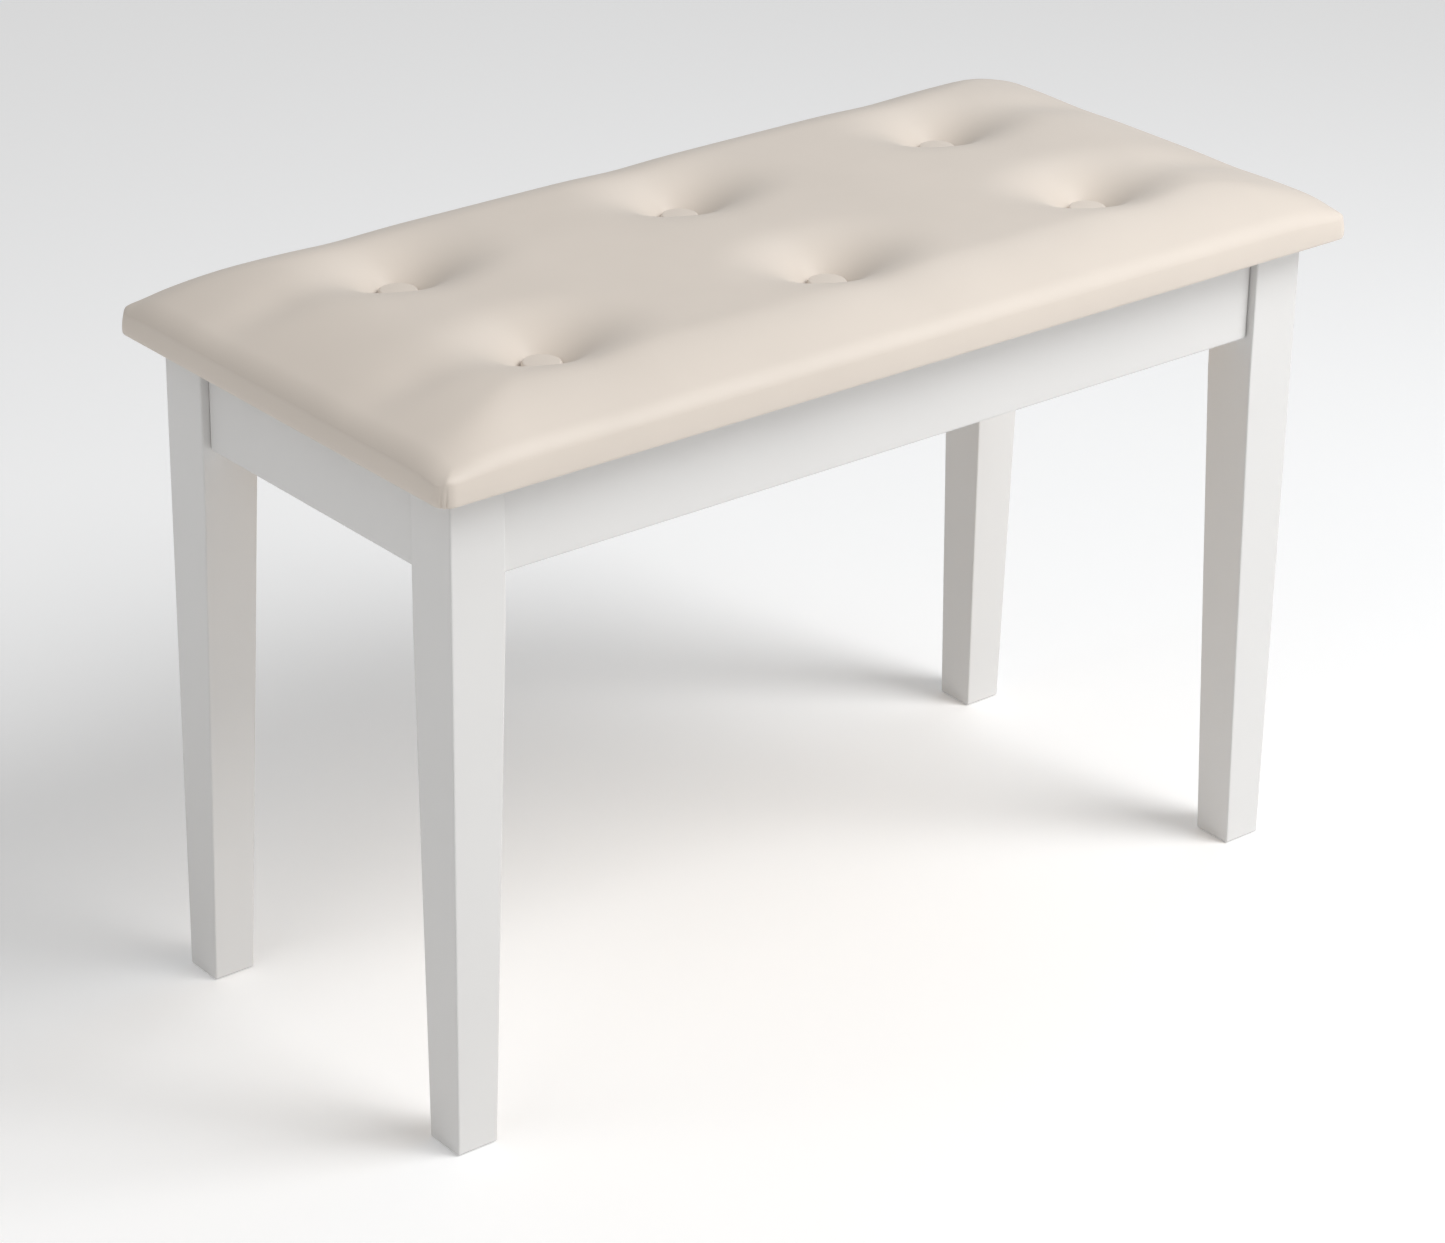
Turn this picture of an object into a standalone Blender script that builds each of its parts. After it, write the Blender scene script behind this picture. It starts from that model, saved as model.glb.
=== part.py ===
"""Duet piano bench: a lacquered frame with a storage box under a hinged, button-tufted lid.

Metres, +Z up. The origin is on the floor under the middle of the seat. +X runs along the
bench, the player's side is -Y, and the lid's hinges are on the +Y side.
"""
import math

import bmesh
import bpy
from mathutils import Matrix, Vector

# Driving dimensions ---------------------------------------------------------------------
GAP = 0.0003                    # clearance between pieces that touch
CUT_PAST = 0.001                # how far a cutter reaches past the surface that it opens

SEAT_LENGTH = 0.746
SEAT_DEPTH = 0.350
SEAT_MIDDLE_Y = -0.0015         # the lid overhangs a little more on the player's side
SEAT_UNDERSIDE = 0.4535         # height of the lid's turned-under hem
SEAT_CORNER_RADIUS = 0.010
SEAT_EDGE_RISE = 0.0200         # near-vertical side of the cushion
SEAT_CROWN = 0.0235             # height of the crown above that side
CROWN_REACH_X = 0.095           # how far in from the ends the crown keeps rising
CROWN_REACH_Y = 0.057
RIDGE_POWER = 3.0               # higher makes the crown's ridges to the corners sharper
CORNER_DROOP = 0.10             # how far the corners may fall below the side, of the crown
COVER_THICKNESS = 0.001
HEM_WIDTH = 0.022
HEM_EDGE_ROUND = 0.0008
BOARD_THICKNESS = 0.008
LINING_THICKNESS = 0.0008
LINING_MARGIN = 0.001           # between the lining and the hem
FOAM_INSET = 0.002
FOAM_DROP = 0.0024

BUTTON_COLUMNS = (-0.226, 0.0, 0.226)
BUTTON_ROWS = (-0.0735, 0.0765)  # from the seat's own middle line
BUTTON_RADIUS = 0.0126
BUTTON_HEIGHT = 0.0048
BUTTON_RIM = 0.0015             # height of a button's widest ring
BUTTON_EDGE = 0.0012            # how far its underside is undercut from that ring
BUTTON_SHANK_RADIUS = 0.0012
BUTTON_SHANK_DEPTH = 0.014
BUTTON_SHANK_TIP = 0.001
TUFT_FLOOR = 0.4722             # height of the cover under a button
TUFT_FLOOR_RADIUS = 0.0206
TUFT_REACH = (0.060, 0.038)     # how far past that a tuft draws the cover down, along X and Y

LEG_OUTER_X = 0.351
LEG_OUTER_Y = 0.1525
LEG_TOP_WIDTH = 0.040
LEG_FOOT_WIDTH = 0.030
LEG_TAPER_TOP = 0.357
LEG_BOTTOM = 0.0007
LEG_EDGE = 0.0010

FRAME_TOP = 0.4510              # tops of the legs and aprons, just under the lid
APRON_BOTTOM = 0.3865
APRON_THICKNESS = 0.015
APRON_RECESS = 0.0055           # how far an apron's face sits back from the leg's
APRON_EDGE = 0.0016
TENON_LENGTH = 0.010
TENON_THICKNESS = 0.008
TENON_SHOULDER = 0.009          # apron height left above and below a tenon

PANEL_BOTTOM = 0.397
PANEL_THICKNESS = 0.004
PANEL_GROOVE_DEPTH = 0.005

LEG_FLAT = 0.010                # chamfer on the leg's inner corner, behind the bracket
BRACKET_THICKNESS = 0.002
BRACKET_REACH = 0.046           # from the box's inner corner to the diagonal web
BRACKET_FLANGE = 0.018
BRACKET_BOTTOM = 0.403
BRACKET_TOP = 0.447
BOLT_HEIGHTS = (0.413, 0.437)
BOLT_RADIUS = 0.003
BOLT_HEAD_RADIUS = 0.005
BOLT_HEAD_HEIGHT = 0.006
BOLT_LENGTH = 0.038
BOLT_TIP = 0.001                # chamfer at the bolt's tip
BOLT_SOCKET_RADIUS = 0.0029
BOLT_SOCKET_DEPTH = 0.003
BOLT_HOLE_DEPTH = 0.027

GLIDE_RADIUS = 0.010
GLIDE_HEIGHT = 0.0022
BUMPER_RADIUS = 0.005

HINGE_CENTRES = {"left": -0.230, "right": 0.230}
HINGE_LENGTH = 0.050
HINGE_LEAF_WIDTH = 0.020
HINGE_LEAF_THICKNESS = 0.0015
KNUCKLE_RADIUS = 0.003
KNUCKLE_HALF = 0.0082           # half length of the lid leaf's middle knuckle
HINGE_PIN_RADIUS = 0.0015
HINGE_PIN_HEAD_RADIUS = 0.0026
HINGE_PIN_HEAD_HEIGHT = 0.0014
HINGE_PIN_TIP = 0.0005          # how far the pin stands out of the last knuckle
SCREW_OFFSET = 0.016            # screws' distance from the middle of the hinge
SCREW_RADIUS = 0.0015
SCREW_HEAD_RADIUS = 0.003
SCREW_HEAD_HEIGHT = 0.0014
SCREW_LENGTH = 0.0095
SCREW_TIP = 0.002               # length of the screw's point

STAY_WIDTH = 0.012
STAY_THICKNESS = 0.002
STAY_PIN_RADIUS = 0.0025
STAY_HEAD_RADIUS = 0.0045
STAY_HEAD_HEIGHT = 0.0012
STAY_PLATE_THICKNESS = 0.0015
STAY_PLATE_HALF = (0.016, 0.010)         # half the box plate's size along Y and Z
STAY_EAR_RADIUS = 0.008
STAY_FOOT_MARGIN = 0.004                 # the lid bracket's foot past its ear at each end
STAY_FOOT_WIDTH = 0.018
STAY_BOX_PIVOT = (0.040, 0.425)          # Y and Z on the left apron's inner face
STAY_LID_REACH = (-0.075, -0.006)        # Y and Z from the hinge axis to the lid's pivot

# Derived places -------------------------------------------------------------------------
HALF_LENGTH = SEAT_LENGTH / 2
HALF_DEPTH = SEAT_DEPTH / 2
LEG_INNER_X = LEG_OUTER_X - LEG_TOP_WIDTH
LEG_INNER_Y = LEG_OUTER_Y - LEG_TOP_WIDTH
APRON_FACE_X = LEG_OUTER_X - APRON_RECESS
APRON_FACE_Y = LEG_OUTER_Y - APRON_RECESS
BOX_INNER_X = APRON_FACE_X - APRON_THICKNESS
BOX_INNER_Y = APRON_FACE_Y - APRON_THICKNESS
BOARD_BOTTOM = SEAT_UNDERSIDE + COVER_THICKNESS + GAP
BOARD_TOP = BOARD_BOTTOM + BOARD_THICKNESS
LINING_BOTTOM = BOARD_BOTTOM - GAP - LINING_THICKNESS
LEAF_TOP = LINING_BOTTOM - GAP
HINGE_Y = APRON_FACE_Y + GAP + KNUCKLE_RADIUS
HINGE_Z = LEAF_TOP - KNUCKLE_RADIUS

SIDES_X = {"left": -1, "right": 1}
SIDES_Y = {"front": -1, "back": 1}
EDGE_STEPS = (0.0, 0.005, 0.013, 0.028, 0.050)
TUFT_STEPS = (0.0145, 0.026, 0.042, 0.064)
HEX_FLAT = math.cos(math.radians(30))
ARC_STEPS = 8


# Building blocks ------------------------------------------------------------------------
def clear_scene():
    for obj in list(bpy.data.objects):
        bpy.data.objects.remove(obj, do_unlink=True)


def make_material(name, colour, roughness, metallic=0.0):
    material = bpy.data.materials.new(name)
    material.use_nodes = True
    shader = material.node_tree.nodes["Principled BSDF"]
    shader.inputs["Base Color"].default_value = (*colour, 1.0)
    shader.inputs["Roughness"].default_value = roughness
    shader.inputs["Metallic"].default_value = metallic
    return material


def make_pivot(name, location):
    pivot = bpy.data.objects.new(name, None)
    pivot.location = location
    bpy.context.scene.collection.objects.link(pivot)
    return pivot


def add_object(name, bm, material, pivot=None, smooth=False, closed=True):
    """Turns a bmesh drawn in world coordinates into an object, hung from a pivot if it moves."""
    if closed:
        bmesh.ops.recalc_face_normals(bm, faces=bm.faces)
    mesh = bpy.data.meshes.new(name)
    bm.to_mesh(mesh)
    bm.free()
    if smooth:
        mesh.shade_smooth()
        mesh.set_sharp_from_angle(angle=math.radians(40))
    obj = bpy.data.objects.new(name, mesh)
    bpy.context.scene.collection.objects.link(obj)
    if material:
        mesh.materials.append(material)
    if pivot:
        obj.parent = pivot
        obj.matrix_parent_inverse = Matrix.Translation(pivot.location).inverted()
    return obj


def combine(target, operation, suffix, *shapes):
    """Joins shapes to the target, or cuts them from it. They are bmeshes in world coordinates
    and, within one call, stay clear of each other."""
    tool_bm = bmesh.new()
    for shape in shapes:
        bmesh.ops.recalc_face_normals(shape, faces=shape.faces)
        scratch = bpy.data.meshes.new("scratch")
        shape.to_mesh(scratch)
        shape.free()
        tool_bm.from_mesh(scratch)
        bpy.data.meshes.remove(scratch)
    tool = add_object(f"{target.name}_{suffix}", tool_bm, None, target.parent, closed=False)
    tool.hide_render = True
    tool.display_type = "WIRE"
    modifier = target.modifiers.new(suffix, "BOOLEAN")
    modifier.operation = operation
    modifier.solver = "EXACT"
    modifier.object = tool


def cut(target, suffix, *shapes):
    combine(target, "DIFFERENCE", suffix, *shapes)


def join(target, suffix, *shapes):
    combine(target, "UNION", suffix, *shapes)


def ease_edges(obj, width, segments=2):
    modifier = obj.modifiers.new("eased_edges", "BEVEL")
    modifier.width = width
    modifier.segments = segments
    modifier.limit_method = "ANGLE"
    modifier.angle_limit = math.radians(30)


def loft(sections):
    """A solid through closed sections, each a list of the same number of 3-D points."""
    bm = bmesh.new()
    rings = [[bm.verts.new(point) for point in section] for section in sections]
    for lower, upper in zip(rings, rings[1:]):
        bridge(bm, lower, upper)
    bm.faces.new(rings[0])
    bm.faces.new(rings[-1])
    return bm


def bridge(bm, upper, lower):
    """Quads between two rings, or triangles where one of them is a single point."""
    count = max(len(upper), len(lower))
    for index in range(count):
        following = (index + 1) % count
        corners = [upper[index % len(upper)], lower[index % len(lower)],
                   lower[following % len(lower)], upper[following % len(upper)]]
        bm.faces.new(list(dict.fromkeys(corners)))


def block(low, high):
    corners = [(low[0], low[1]), (high[0], low[1]), (high[0], high[1]), (low[0], high[1])]
    return prism(corners, "Z", low[2], high[2])


def prism(outline, axis, low, high):
    """A flat outline pushed along an axis. Along X the outline's points are (y, z)."""
    if axis == "X":
        sections = [[(level, first, second) for first, second in outline] for level in (low, high)]
    else:
        sections = [[(first, second, level) for first, second in outline] for level in (low, high)]
    return loft(sections)


def turned(profile, segments=16, hexagonal=()):
    """A solid of revolution about Z through (radius, height) points, from axis to axis.
    Rings whose index is in hexagonal follow a hexagon."""
    bm = bmesh.new()
    rings = []
    for index, (radius, height) in enumerate(profile):
        ring = []
        for step in range(segments if radius else 1):
            angle = math.tau * step / segments
            reach = radius * (HEX_FLAT if index in hexagonal and step % 2 else 1.0)
            ring.append(bm.verts.new((reach * math.cos(angle), reach * math.sin(angle), height)))
        rings.append(ring)
    for lower, upper in zip(rings, rings[1:]):
        bridge(bm, lower, upper)
    return bm


def rod(radius, low, high, segments=16):
    return turned([(0, low), (radius, low), (radius, high), (0, high)], segments)


def placed(bm, origin, direction):
    """Turns a piece's +Z to a direction and moves it to its place."""
    turn = Vector((0, 0, 1)).rotation_difference(Vector(direction)).to_matrix().to_4x4()
    bmesh.ops.transform(bm, matrix=Matrix.Translation(origin) @ turn, verts=bm.verts)
    return bm


def arc(centre, radius, start, end, steps=ARC_STEPS):
    """Points on a flat arc, with its angles in degrees."""
    points = []
    for step in range(steps + 1):
        angle = math.radians(start + (end - start) * step / steps)
        points.append((centre[0] + radius * math.cos(angle), centre[1] + radius * math.sin(angle)))
    return points


def strip_outline(points, thickness):
    """A bent strip seen from above: a line of points thickened, with mitred bends."""
    normals = []
    for start, end in zip(points, points[1:]):
        run = Vector((end[0] - start[0], end[1] - start[1])).normalized()
        normals.append(Vector((-run.y, run.x)))
    offsets = [normals[0]]
    for before, after in zip(normals, normals[1:]):
        middle = (before + after).normalized()
        offsets.append(middle / middle.dot(before))
    offsets.append(normals[-1])
    half = thickness / 2
    left = [(p[0] + o.x * half, p[1] + o.y * half) for p, o in zip(points, offsets)]
    right = [(p[0] - o.x * half, p[1] - o.y * half) for p, o in zip(points, offsets)]
    return left + right[::-1]


# Legs and aprons ------------------------------------------------------------------------
def leg_section(side_x, side_y, width, height):
    outer_x, outer_y = side_x * LEG_OUTER_X, side_y * LEG_OUTER_Y
    inner_x, inner_y = side_x * (LEG_OUTER_X - width), side_y * (LEG_OUTER_Y - width)
    corners = [(outer_x, outer_y), (inner_x, outer_y), (inner_x, inner_y), (outer_x, inner_y)]
    return [(x, y, height) for x, y in corners]


def bolt_line(side_x, side_y, height, distance):
    """A point on a leg bolt's axis, at a distance outward from the leg's flat."""
    flat_x = LEG_INNER_X + LEG_FLAT / 2
    flat_y = LEG_INNER_Y + LEG_FLAT / 2
    step = distance / math.sqrt(2)
    return (side_x * (flat_x + step), side_y * (flat_y + step), height)


def tenon(along_x, side_x, side_y, margin):
    """The tenon at one end of an apron, or its mortise with a margin all round."""
    half = TENON_THICKNESS / 2 + margin
    low_z = APRON_BOTTOM + TENON_SHOULDER - margin
    high_z = FRAME_TOP - TENON_SHOULDER + margin
    if along_x:
        middle = side_y * (APRON_FACE_Y - APRON_THICKNESS / 2)
        ends = sorted((side_x * (LEG_INNER_X - TENON_LENGTH),
                       side_x * (LEG_INNER_X + TENON_LENGTH + margin)))
        return block((ends[0], middle - half, low_z), (ends[1], middle + half, high_z))
    middle = side_x * (APRON_FACE_X - APRON_THICKNESS / 2)
    ends = sorted((side_y * (LEG_INNER_Y - TENON_LENGTH),
                   side_y * (LEG_INNER_Y + TENON_LENGTH + margin)))
    return block((middle - half, ends[0], low_z), (middle + half, ends[1], high_z))


def make_leg(name, side_x, side_y, material):
    bm = loft([leg_section(side_x, side_y, LEG_FOOT_WIDTH, LEG_BOTTOM),
               leg_section(side_x, side_y, LEG_TOP_WIDTH, LEG_TAPER_TOP),
               leg_section(side_x, side_y, LEG_TOP_WIDTH, FRAME_TOP)])
    leg = add_object(name, bm, material)
    ease_edges(leg, LEG_EDGE)
    cut(leg, "mortises", tenon(True, side_x, side_y, GAP), tenon(False, side_x, side_y, GAP))

    near_x, near_y = LEG_INNER_X - CUT_PAST, LEG_INNER_Y - CUT_PAST
    far_x, far_y = LEG_INNER_X + LEG_FLAT + CUT_PAST, LEG_INNER_Y + LEG_FLAT + CUT_PAST
    corner = [(side_x * near_x, side_y * near_y), (side_x * far_x, side_y * near_y),
              (side_x * near_x, side_y * far_y)]
    cut(leg, "corner_flat", prism(corner, "Z", APRON_BOTTOM - CUT_PAST, FRAME_TOP + CUT_PAST))

    outward = (side_x, side_y, 0)
    holes = [placed(rod(BOLT_RADIUS + GAP, -CUT_PAST, BOLT_HOLE_DEPTH),
                    bolt_line(side_x, side_y, height, 0), outward) for height in BOLT_HEIGHTS]
    cut(leg, "bolt_holes", *holes)

    foot = (side_x * (LEG_OUTER_X - LEG_FOOT_WIDTH / 2), side_y * (LEG_OUTER_Y - LEG_FOOT_WIDTH / 2), 0)
    recess = rod(GLIDE_RADIUS + GAP, -CUT_PAST, GLIDE_HEIGHT + GAP, 24)
    cut(leg, "glide_recess", placed(recess, foot, (0, 0, 1)))


def make_glide(name, side_x, side_y, material):
    edge = 0.0004
    profile = [(0, 0), (GLIDE_RADIUS - edge, 0), (GLIDE_RADIUS, edge),
               (GLIDE_RADIUS, GLIDE_HEIGHT), (0, GLIDE_HEIGHT)]
    foot = (side_x * (LEG_OUTER_X - LEG_FOOT_WIDTH / 2), side_y * (LEG_OUTER_Y - LEG_FOOT_WIDTH / 2), 0)
    add_object(name, placed(turned(profile, 24), foot, (0, 0, 1)), material, smooth=True)


def make_long_apron(name, side_y, material):
    """The front or back apron, with the groove that holds the storage floor."""
    faces = sorted((side_y * APRON_FACE_Y, side_y * BOX_INNER_Y))
    half = LEG_INNER_X - GAP
    apron = add_object(name, block((-half, faces[0], APRON_BOTTOM), (half, faces[1], FRAME_TOP)),
                       material)
    ease_edges(apron, APRON_EDGE)
    join(apron, "tenons", tenon(True, -1, side_y, 0), tenon(True, 1, side_y, 0))
    groove = sorted((side_y * (BOX_INNER_Y - CUT_PAST), side_y * (BOX_INNER_Y + PANEL_GROOVE_DEPTH)))
    cut(apron, "groove", block((-half - CUT_PAST, groove[0], PANEL_BOTTOM - GAP),
                               (half + CUT_PAST, groove[1], PANEL_BOTTOM + PANEL_THICKNESS + GAP)))
    return apron


def make_side_apron(name, side_x, material):
    faces = sorted((side_x * APRON_FACE_X, side_x * BOX_INNER_X))
    half = LEG_INNER_Y - GAP
    apron = add_object(name, block((faces[0], -half, APRON_BOTTOM), (faces[1], half, FRAME_TOP)),
                       material)
    ease_edges(apron, APRON_EDGE)
    join(apron, "tenons", tenon(False, side_x, -1, 0), tenon(False, side_x, 1, 0))
    groove = sorted((side_x * (BOX_INNER_X - CUT_PAST), side_x * (BOX_INNER_X + PANEL_GROOVE_DEPTH)))
    cut(apron, "groove", block((groove[0], -half - CUT_PAST, PANEL_BOTTOM - GAP),
                               (groove[1], half + CUT_PAST, PANEL_BOTTOM + PANEL_THICKNESS + GAP)))


def make_storage_floor(material):
    """A thin panel let into the aprons' grooves and notched round the legs."""
    wide_x = BOX_INNER_X + PANEL_GROOVE_DEPTH - 2 * GAP
    wide_y = BOX_INNER_Y + PANEL_GROOVE_DEPTH - 2 * GAP
    notch_x, notch_y = LEG_INNER_X - 2 * GAP, LEG_INNER_Y - 2 * GAP
    quarter = [(wide_x, notch_y), (notch_x, notch_y), (notch_x, wide_y)]
    outline = []
    for side_x, side_y in ((1, 1), (-1, 1), (-1, -1), (1, -1)):
        points = [(side_x * x, side_y * y) for x, y in quarter]
        outline += points if side_x == side_y else points[::-1]
    bm = prism(outline, "Z", PANEL_BOTTOM, PANEL_BOTTOM + PANEL_THICKNESS)
    add_object("storage_floor", bm, material)


# Corner fixings -------------------------------------------------------------------------
def make_corner_bracket(name, side_x, side_y, material):
    """A pressed strip that lies on both aprons and crosses the corner behind the leg."""
    off = GAP + BRACKET_THICKNESS / 2
    path = [(BOX_INNER_X - BRACKET_REACH - BRACKET_FLANGE, BOX_INNER_Y - off),
            (BOX_INNER_X - BRACKET_REACH, BOX_INNER_Y - off),
            (BOX_INNER_X - off, BOX_INNER_Y - BRACKET_REACH),
            (BOX_INNER_X - off, BOX_INNER_Y - BRACKET_REACH - BRACKET_FLANGE)]
    path = [(side_x * x, side_y * y) for x, y in path]
    bm = prism(strip_outline(path, BRACKET_THICKNESS), "Z", BRACKET_BOTTOM, BRACKET_TOP)
    bracket = add_object(name, bm, material)
    inner = -web_distance()
    hole = (BOLT_RADIUS + GAP, inner - CUT_PAST, inner + BRACKET_THICKNESS + CUT_PAST)
    holes = [placed(rod(*hole), bolt_line(side_x, side_y, height, 0), (side_x, side_y, 0))
             for height in BOLT_HEIGHTS]
    cut(bracket, "bolt_holes", *holes)


def web_distance():
    """How far the bracket's inner face stands in from the leg's flat, along the bolt."""
    web_sum = BOX_INNER_X + BOX_INNER_Y - BRACKET_REACH - GAP - BRACKET_THICKNESS / 2
    flat_sum = LEG_INNER_X + LEG_INNER_Y + LEG_FLAT
    return (flat_sum - web_sum) / math.sqrt(2) + BRACKET_THICKNESS / 2


def make_leg_bolt(name, side_x, side_y, height, material):
    """A socket-head bolt, drawn head down with its bearing face at the origin."""
    socket_floor = BOLT_SOCKET_DEPTH - BOLT_HEAD_HEIGHT
    profile = [(0, socket_floor), (BOLT_SOCKET_RADIUS, socket_floor),
               (BOLT_SOCKET_RADIUS, -BOLT_HEAD_HEIGHT), (BOLT_HEAD_RADIUS, -BOLT_HEAD_HEIGHT),
               (BOLT_HEAD_RADIUS, 0), (BOLT_RADIUS, 0), (BOLT_RADIUS, BOLT_LENGTH - BOLT_TIP),
               (BOLT_RADIUS - BOLT_TIP, BOLT_LENGTH), (0, BOLT_LENGTH)]
    bm = turned(profile, 12, hexagonal=(1, 2))
    origin = bolt_line(side_x, side_y, height, -web_distance() - GAP)
    add_object(name, placed(bm, origin, (side_x, side_y, 0)), material, smooth=True)


def make_bumper(name, side_x, side_y, material):
    """A clear pad on the leg's top that the closed lid rests on."""
    low, high = FRAME_TOP + GAP, LINING_BOTTOM - GAP
    edge = 0.0006
    profile = [(0, low), (BUMPER_RADIUS, low), (BUMPER_RADIUS, high - edge),
               (BUMPER_RADIUS - edge, high), (0, high)]
    middle = LEG_TOP_WIDTH / 2
    origin = (side_x * (LEG_OUTER_X - middle), side_y * (LEG_OUTER_Y - middle), 0)
    add_object(name, placed(turned(profile), origin, (0, 0, 1)), material, smooth=True)


# Seat -----------------------------------------------------------------------------------
def grid_lines(half, centres):
    """Grid lines across the seat, closer together at its edges and round each tuft."""
    lines = {side * (half - step) for side in (-1, 1) for step in EDGE_STEPS}
    for centre in centres:
        lines.update(centre + side * step for side in (-1, 1) for step in TUFT_STEPS)
    return sorted(lines)


def pulled_in(value, half, inset):
    """Squeezes the outermost strip of a side so that its edge moves in by the inset."""
    strip = EDGE_STEPS[-1]
    past = abs(value) - (half - strip)
    if past <= 0:
        return value
    return math.copysign(half - strip + past * (strip - inset) / strip, value)


def rounded(x, y, inset):
    """The place of a point of the seat's rectangle, which is drawn about the seat's own middle:
    pulled in at the edges and rounded at the corners."""
    half_x, half_y = HALF_LENGTH - inset, HALF_DEPTH - inset
    radius = max(SEAT_CORNER_RADIUS - inset, 0.002)
    x = pulled_in(x, HALF_LENGTH, inset)
    y = pulled_in(y, HALF_DEPTH, inset)
    past_x = abs(x) - (half_x - radius)
    past_y = abs(y) - (half_y - radius)
    if past_x <= 0 or past_y <= 0:
        return x, SEAT_MIDDLE_Y + y
    round_x = past_x * math.sqrt(1 - past_y ** 2 / (2 * radius ** 2))
    round_y = past_y * math.sqrt(1 - past_x ** 2 / (2 * radius ** 2))
    return (math.copysign(half_x - radius + round_x, x),
            SEAT_MIDDLE_Y + math.copysign(half_y - radius + round_y, y))


def crown_rise(share):
    """Rise of the crown from 0 at the edge to 1 where it levels out."""
    share = min(share, 1.0)
    return (3 * share - share ** 3) / 2


def tuft_pull(run_x, run_y):
    """How far a button draws the cover down to its floor, from 1 at the button to 0."""
    distance = math.hypot(run_x, run_y)
    if distance <= TUFT_FLOOR_RADIUS:
        return 1.0
    reach = distance / math.hypot(run_x / TUFT_REACH[0], run_y / TUFT_REACH[1])
    return max(1 - (distance - TUFT_FLOOR_RADIUS) / reach, 0.0) ** 2


def seat_height(x, y):
    """Height of the cover: a crowned cushion, pulled down at each button."""
    fall_x = 1 - crown_rise((HALF_LENGTH - abs(x)) / CROWN_REACH_X)
    fall_y = 1 - crown_rise((HALF_DEPTH - abs(y)) / CROWN_REACH_Y)
    crown = 1 - (fall_x ** RIDGE_POWER + fall_y ** RIDGE_POWER) ** (1 / RIDGE_POWER)
    height = SEAT_UNDERSIDE + SEAT_EDGE_RISE + SEAT_CROWN * max(crown, -CORNER_DROOP)
    for column in BUTTON_COLUMNS:
        for row in BUTTON_ROWS:
            height -= (height - TUFT_FLOOR) * tuft_pull(x - column, y - row)
    return height


def perimeter(rows):
    """The outer points of a grid, counter-clockwise from above."""
    return (rows[0] + [row[-1] for row in rows[1:]] + rows[-1][-2::-1]
            + [row[0] for row in rows[-2:0:-1]])


def dome(bm, inset, drop):
    """The cushion's tufted top; returns its outer ring of vertices and their plan points."""
    lines_x = grid_lines(HALF_LENGTH, BUTTON_COLUMNS)
    lines_y = grid_lines(HALF_DEPTH, BUTTON_ROWS)
    rows = []
    for y in lines_y:
        rows.append([bm.verts.new((*rounded(x, y, inset), seat_height(x, y) - drop)) for x in lines_x])
    for near, far in zip(rows, rows[1:]):
        for index in range(len(near) - 1):
            bm.faces.new((near[index], near[index + 1], far[index + 1]))
            bm.faces.new((near[index], far[index + 1], far[index]))
    plan = perimeter([[(x, y) for x in lines_x] for y in lines_y])
    return perimeter(rows), plan


def add_ring(bm, upper, plan, inset, height):
    """A ring of side faces down from an upper ring; returns the new ring."""
    lower = [bm.verts.new((*rounded(x, y, inset), height)) for x, y in plan]
    bridge(bm, upper, lower)
    return lower


def button_shanks(radius, low, high):
    return [placed(rod(radius, low, high, 8), (column, SEAT_MIDDLE_Y + row, 0), (0, 0, 1))
            for column in BUTTON_COLUMNS for row in BUTTON_ROWS]


def make_seat_cover(pivot, material):
    bm = bmesh.new()
    ring, plan = dome(bm, 0.0, 0.0)
    ring = add_ring(bm, ring, plan, 0.0, SEAT_UNDERSIDE + HEM_EDGE_ROUND)
    ring = add_ring(bm, ring, plan, HEM_EDGE_ROUND, SEAT_UNDERSIDE)
    add_ring(bm, ring, plan, HEM_WIDTH, SEAT_UNDERSIDE)
    cover = add_object("seat_cover", bm, material, pivot, smooth=True, closed=False)
    shell = cover.modifiers.new("thickness", "SOLIDIFY")
    shell.thickness = COVER_THICKNESS
    shell.offset = -1
    shell.use_even_offset = True
    low = TUFT_FLOOR - COVER_THICKNESS - 2 * CUT_PAST
    cut(cover, "button_holes", *button_shanks(BUTTON_SHANK_RADIUS + GAP, low, TUFT_FLOOR + CUT_PAST))


def make_seat_foam(pivot, material):
    bm = bmesh.new()
    ring, plan = dome(bm, FOAM_INSET, FOAM_DROP)
    base = add_ring(bm, ring, plan, FOAM_INSET, BOARD_TOP + GAP)
    bm.faces.new(base[::-1])
    foam = add_object("seat_foam", bm, material, pivot)
    low = BOARD_TOP - CUT_PAST
    cut(foam, "button_holes", *button_shanks(BUTTON_SHANK_RADIUS + GAP, low, TUFT_FLOOR))


def make_lid_board(pivot, material):
    inset = COVER_THICKNESS + GAP
    corner = SEAT_CORNER_RADIUS
    half_x, half_y = HALF_LENGTH - inset, HALF_DEPTH - inset
    outline = []
    for start, side_x, side_y in ((0, 1, 1), (90, -1, 1), (180, -1, -1), (270, 1, -1)):
        centre = (side_x * (half_x - corner), SEAT_MIDDLE_Y + side_y * (half_y - corner))
        outline += arc(centre, corner, start, start + 90, 4)
    board = add_object("lid_board", prism(outline, "Z", BOARD_BOTTOM, BOARD_TOP), material, pivot)
    low = TUFT_FLOOR - BUTTON_SHANK_DEPTH - GAP
    cut(board, "button_holes", *button_shanks(BUTTON_SHANK_RADIUS + GAP, low, BOARD_TOP + CUT_PAST))
    cut(board, "screw_holes", *lid_screw_holes())


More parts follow.
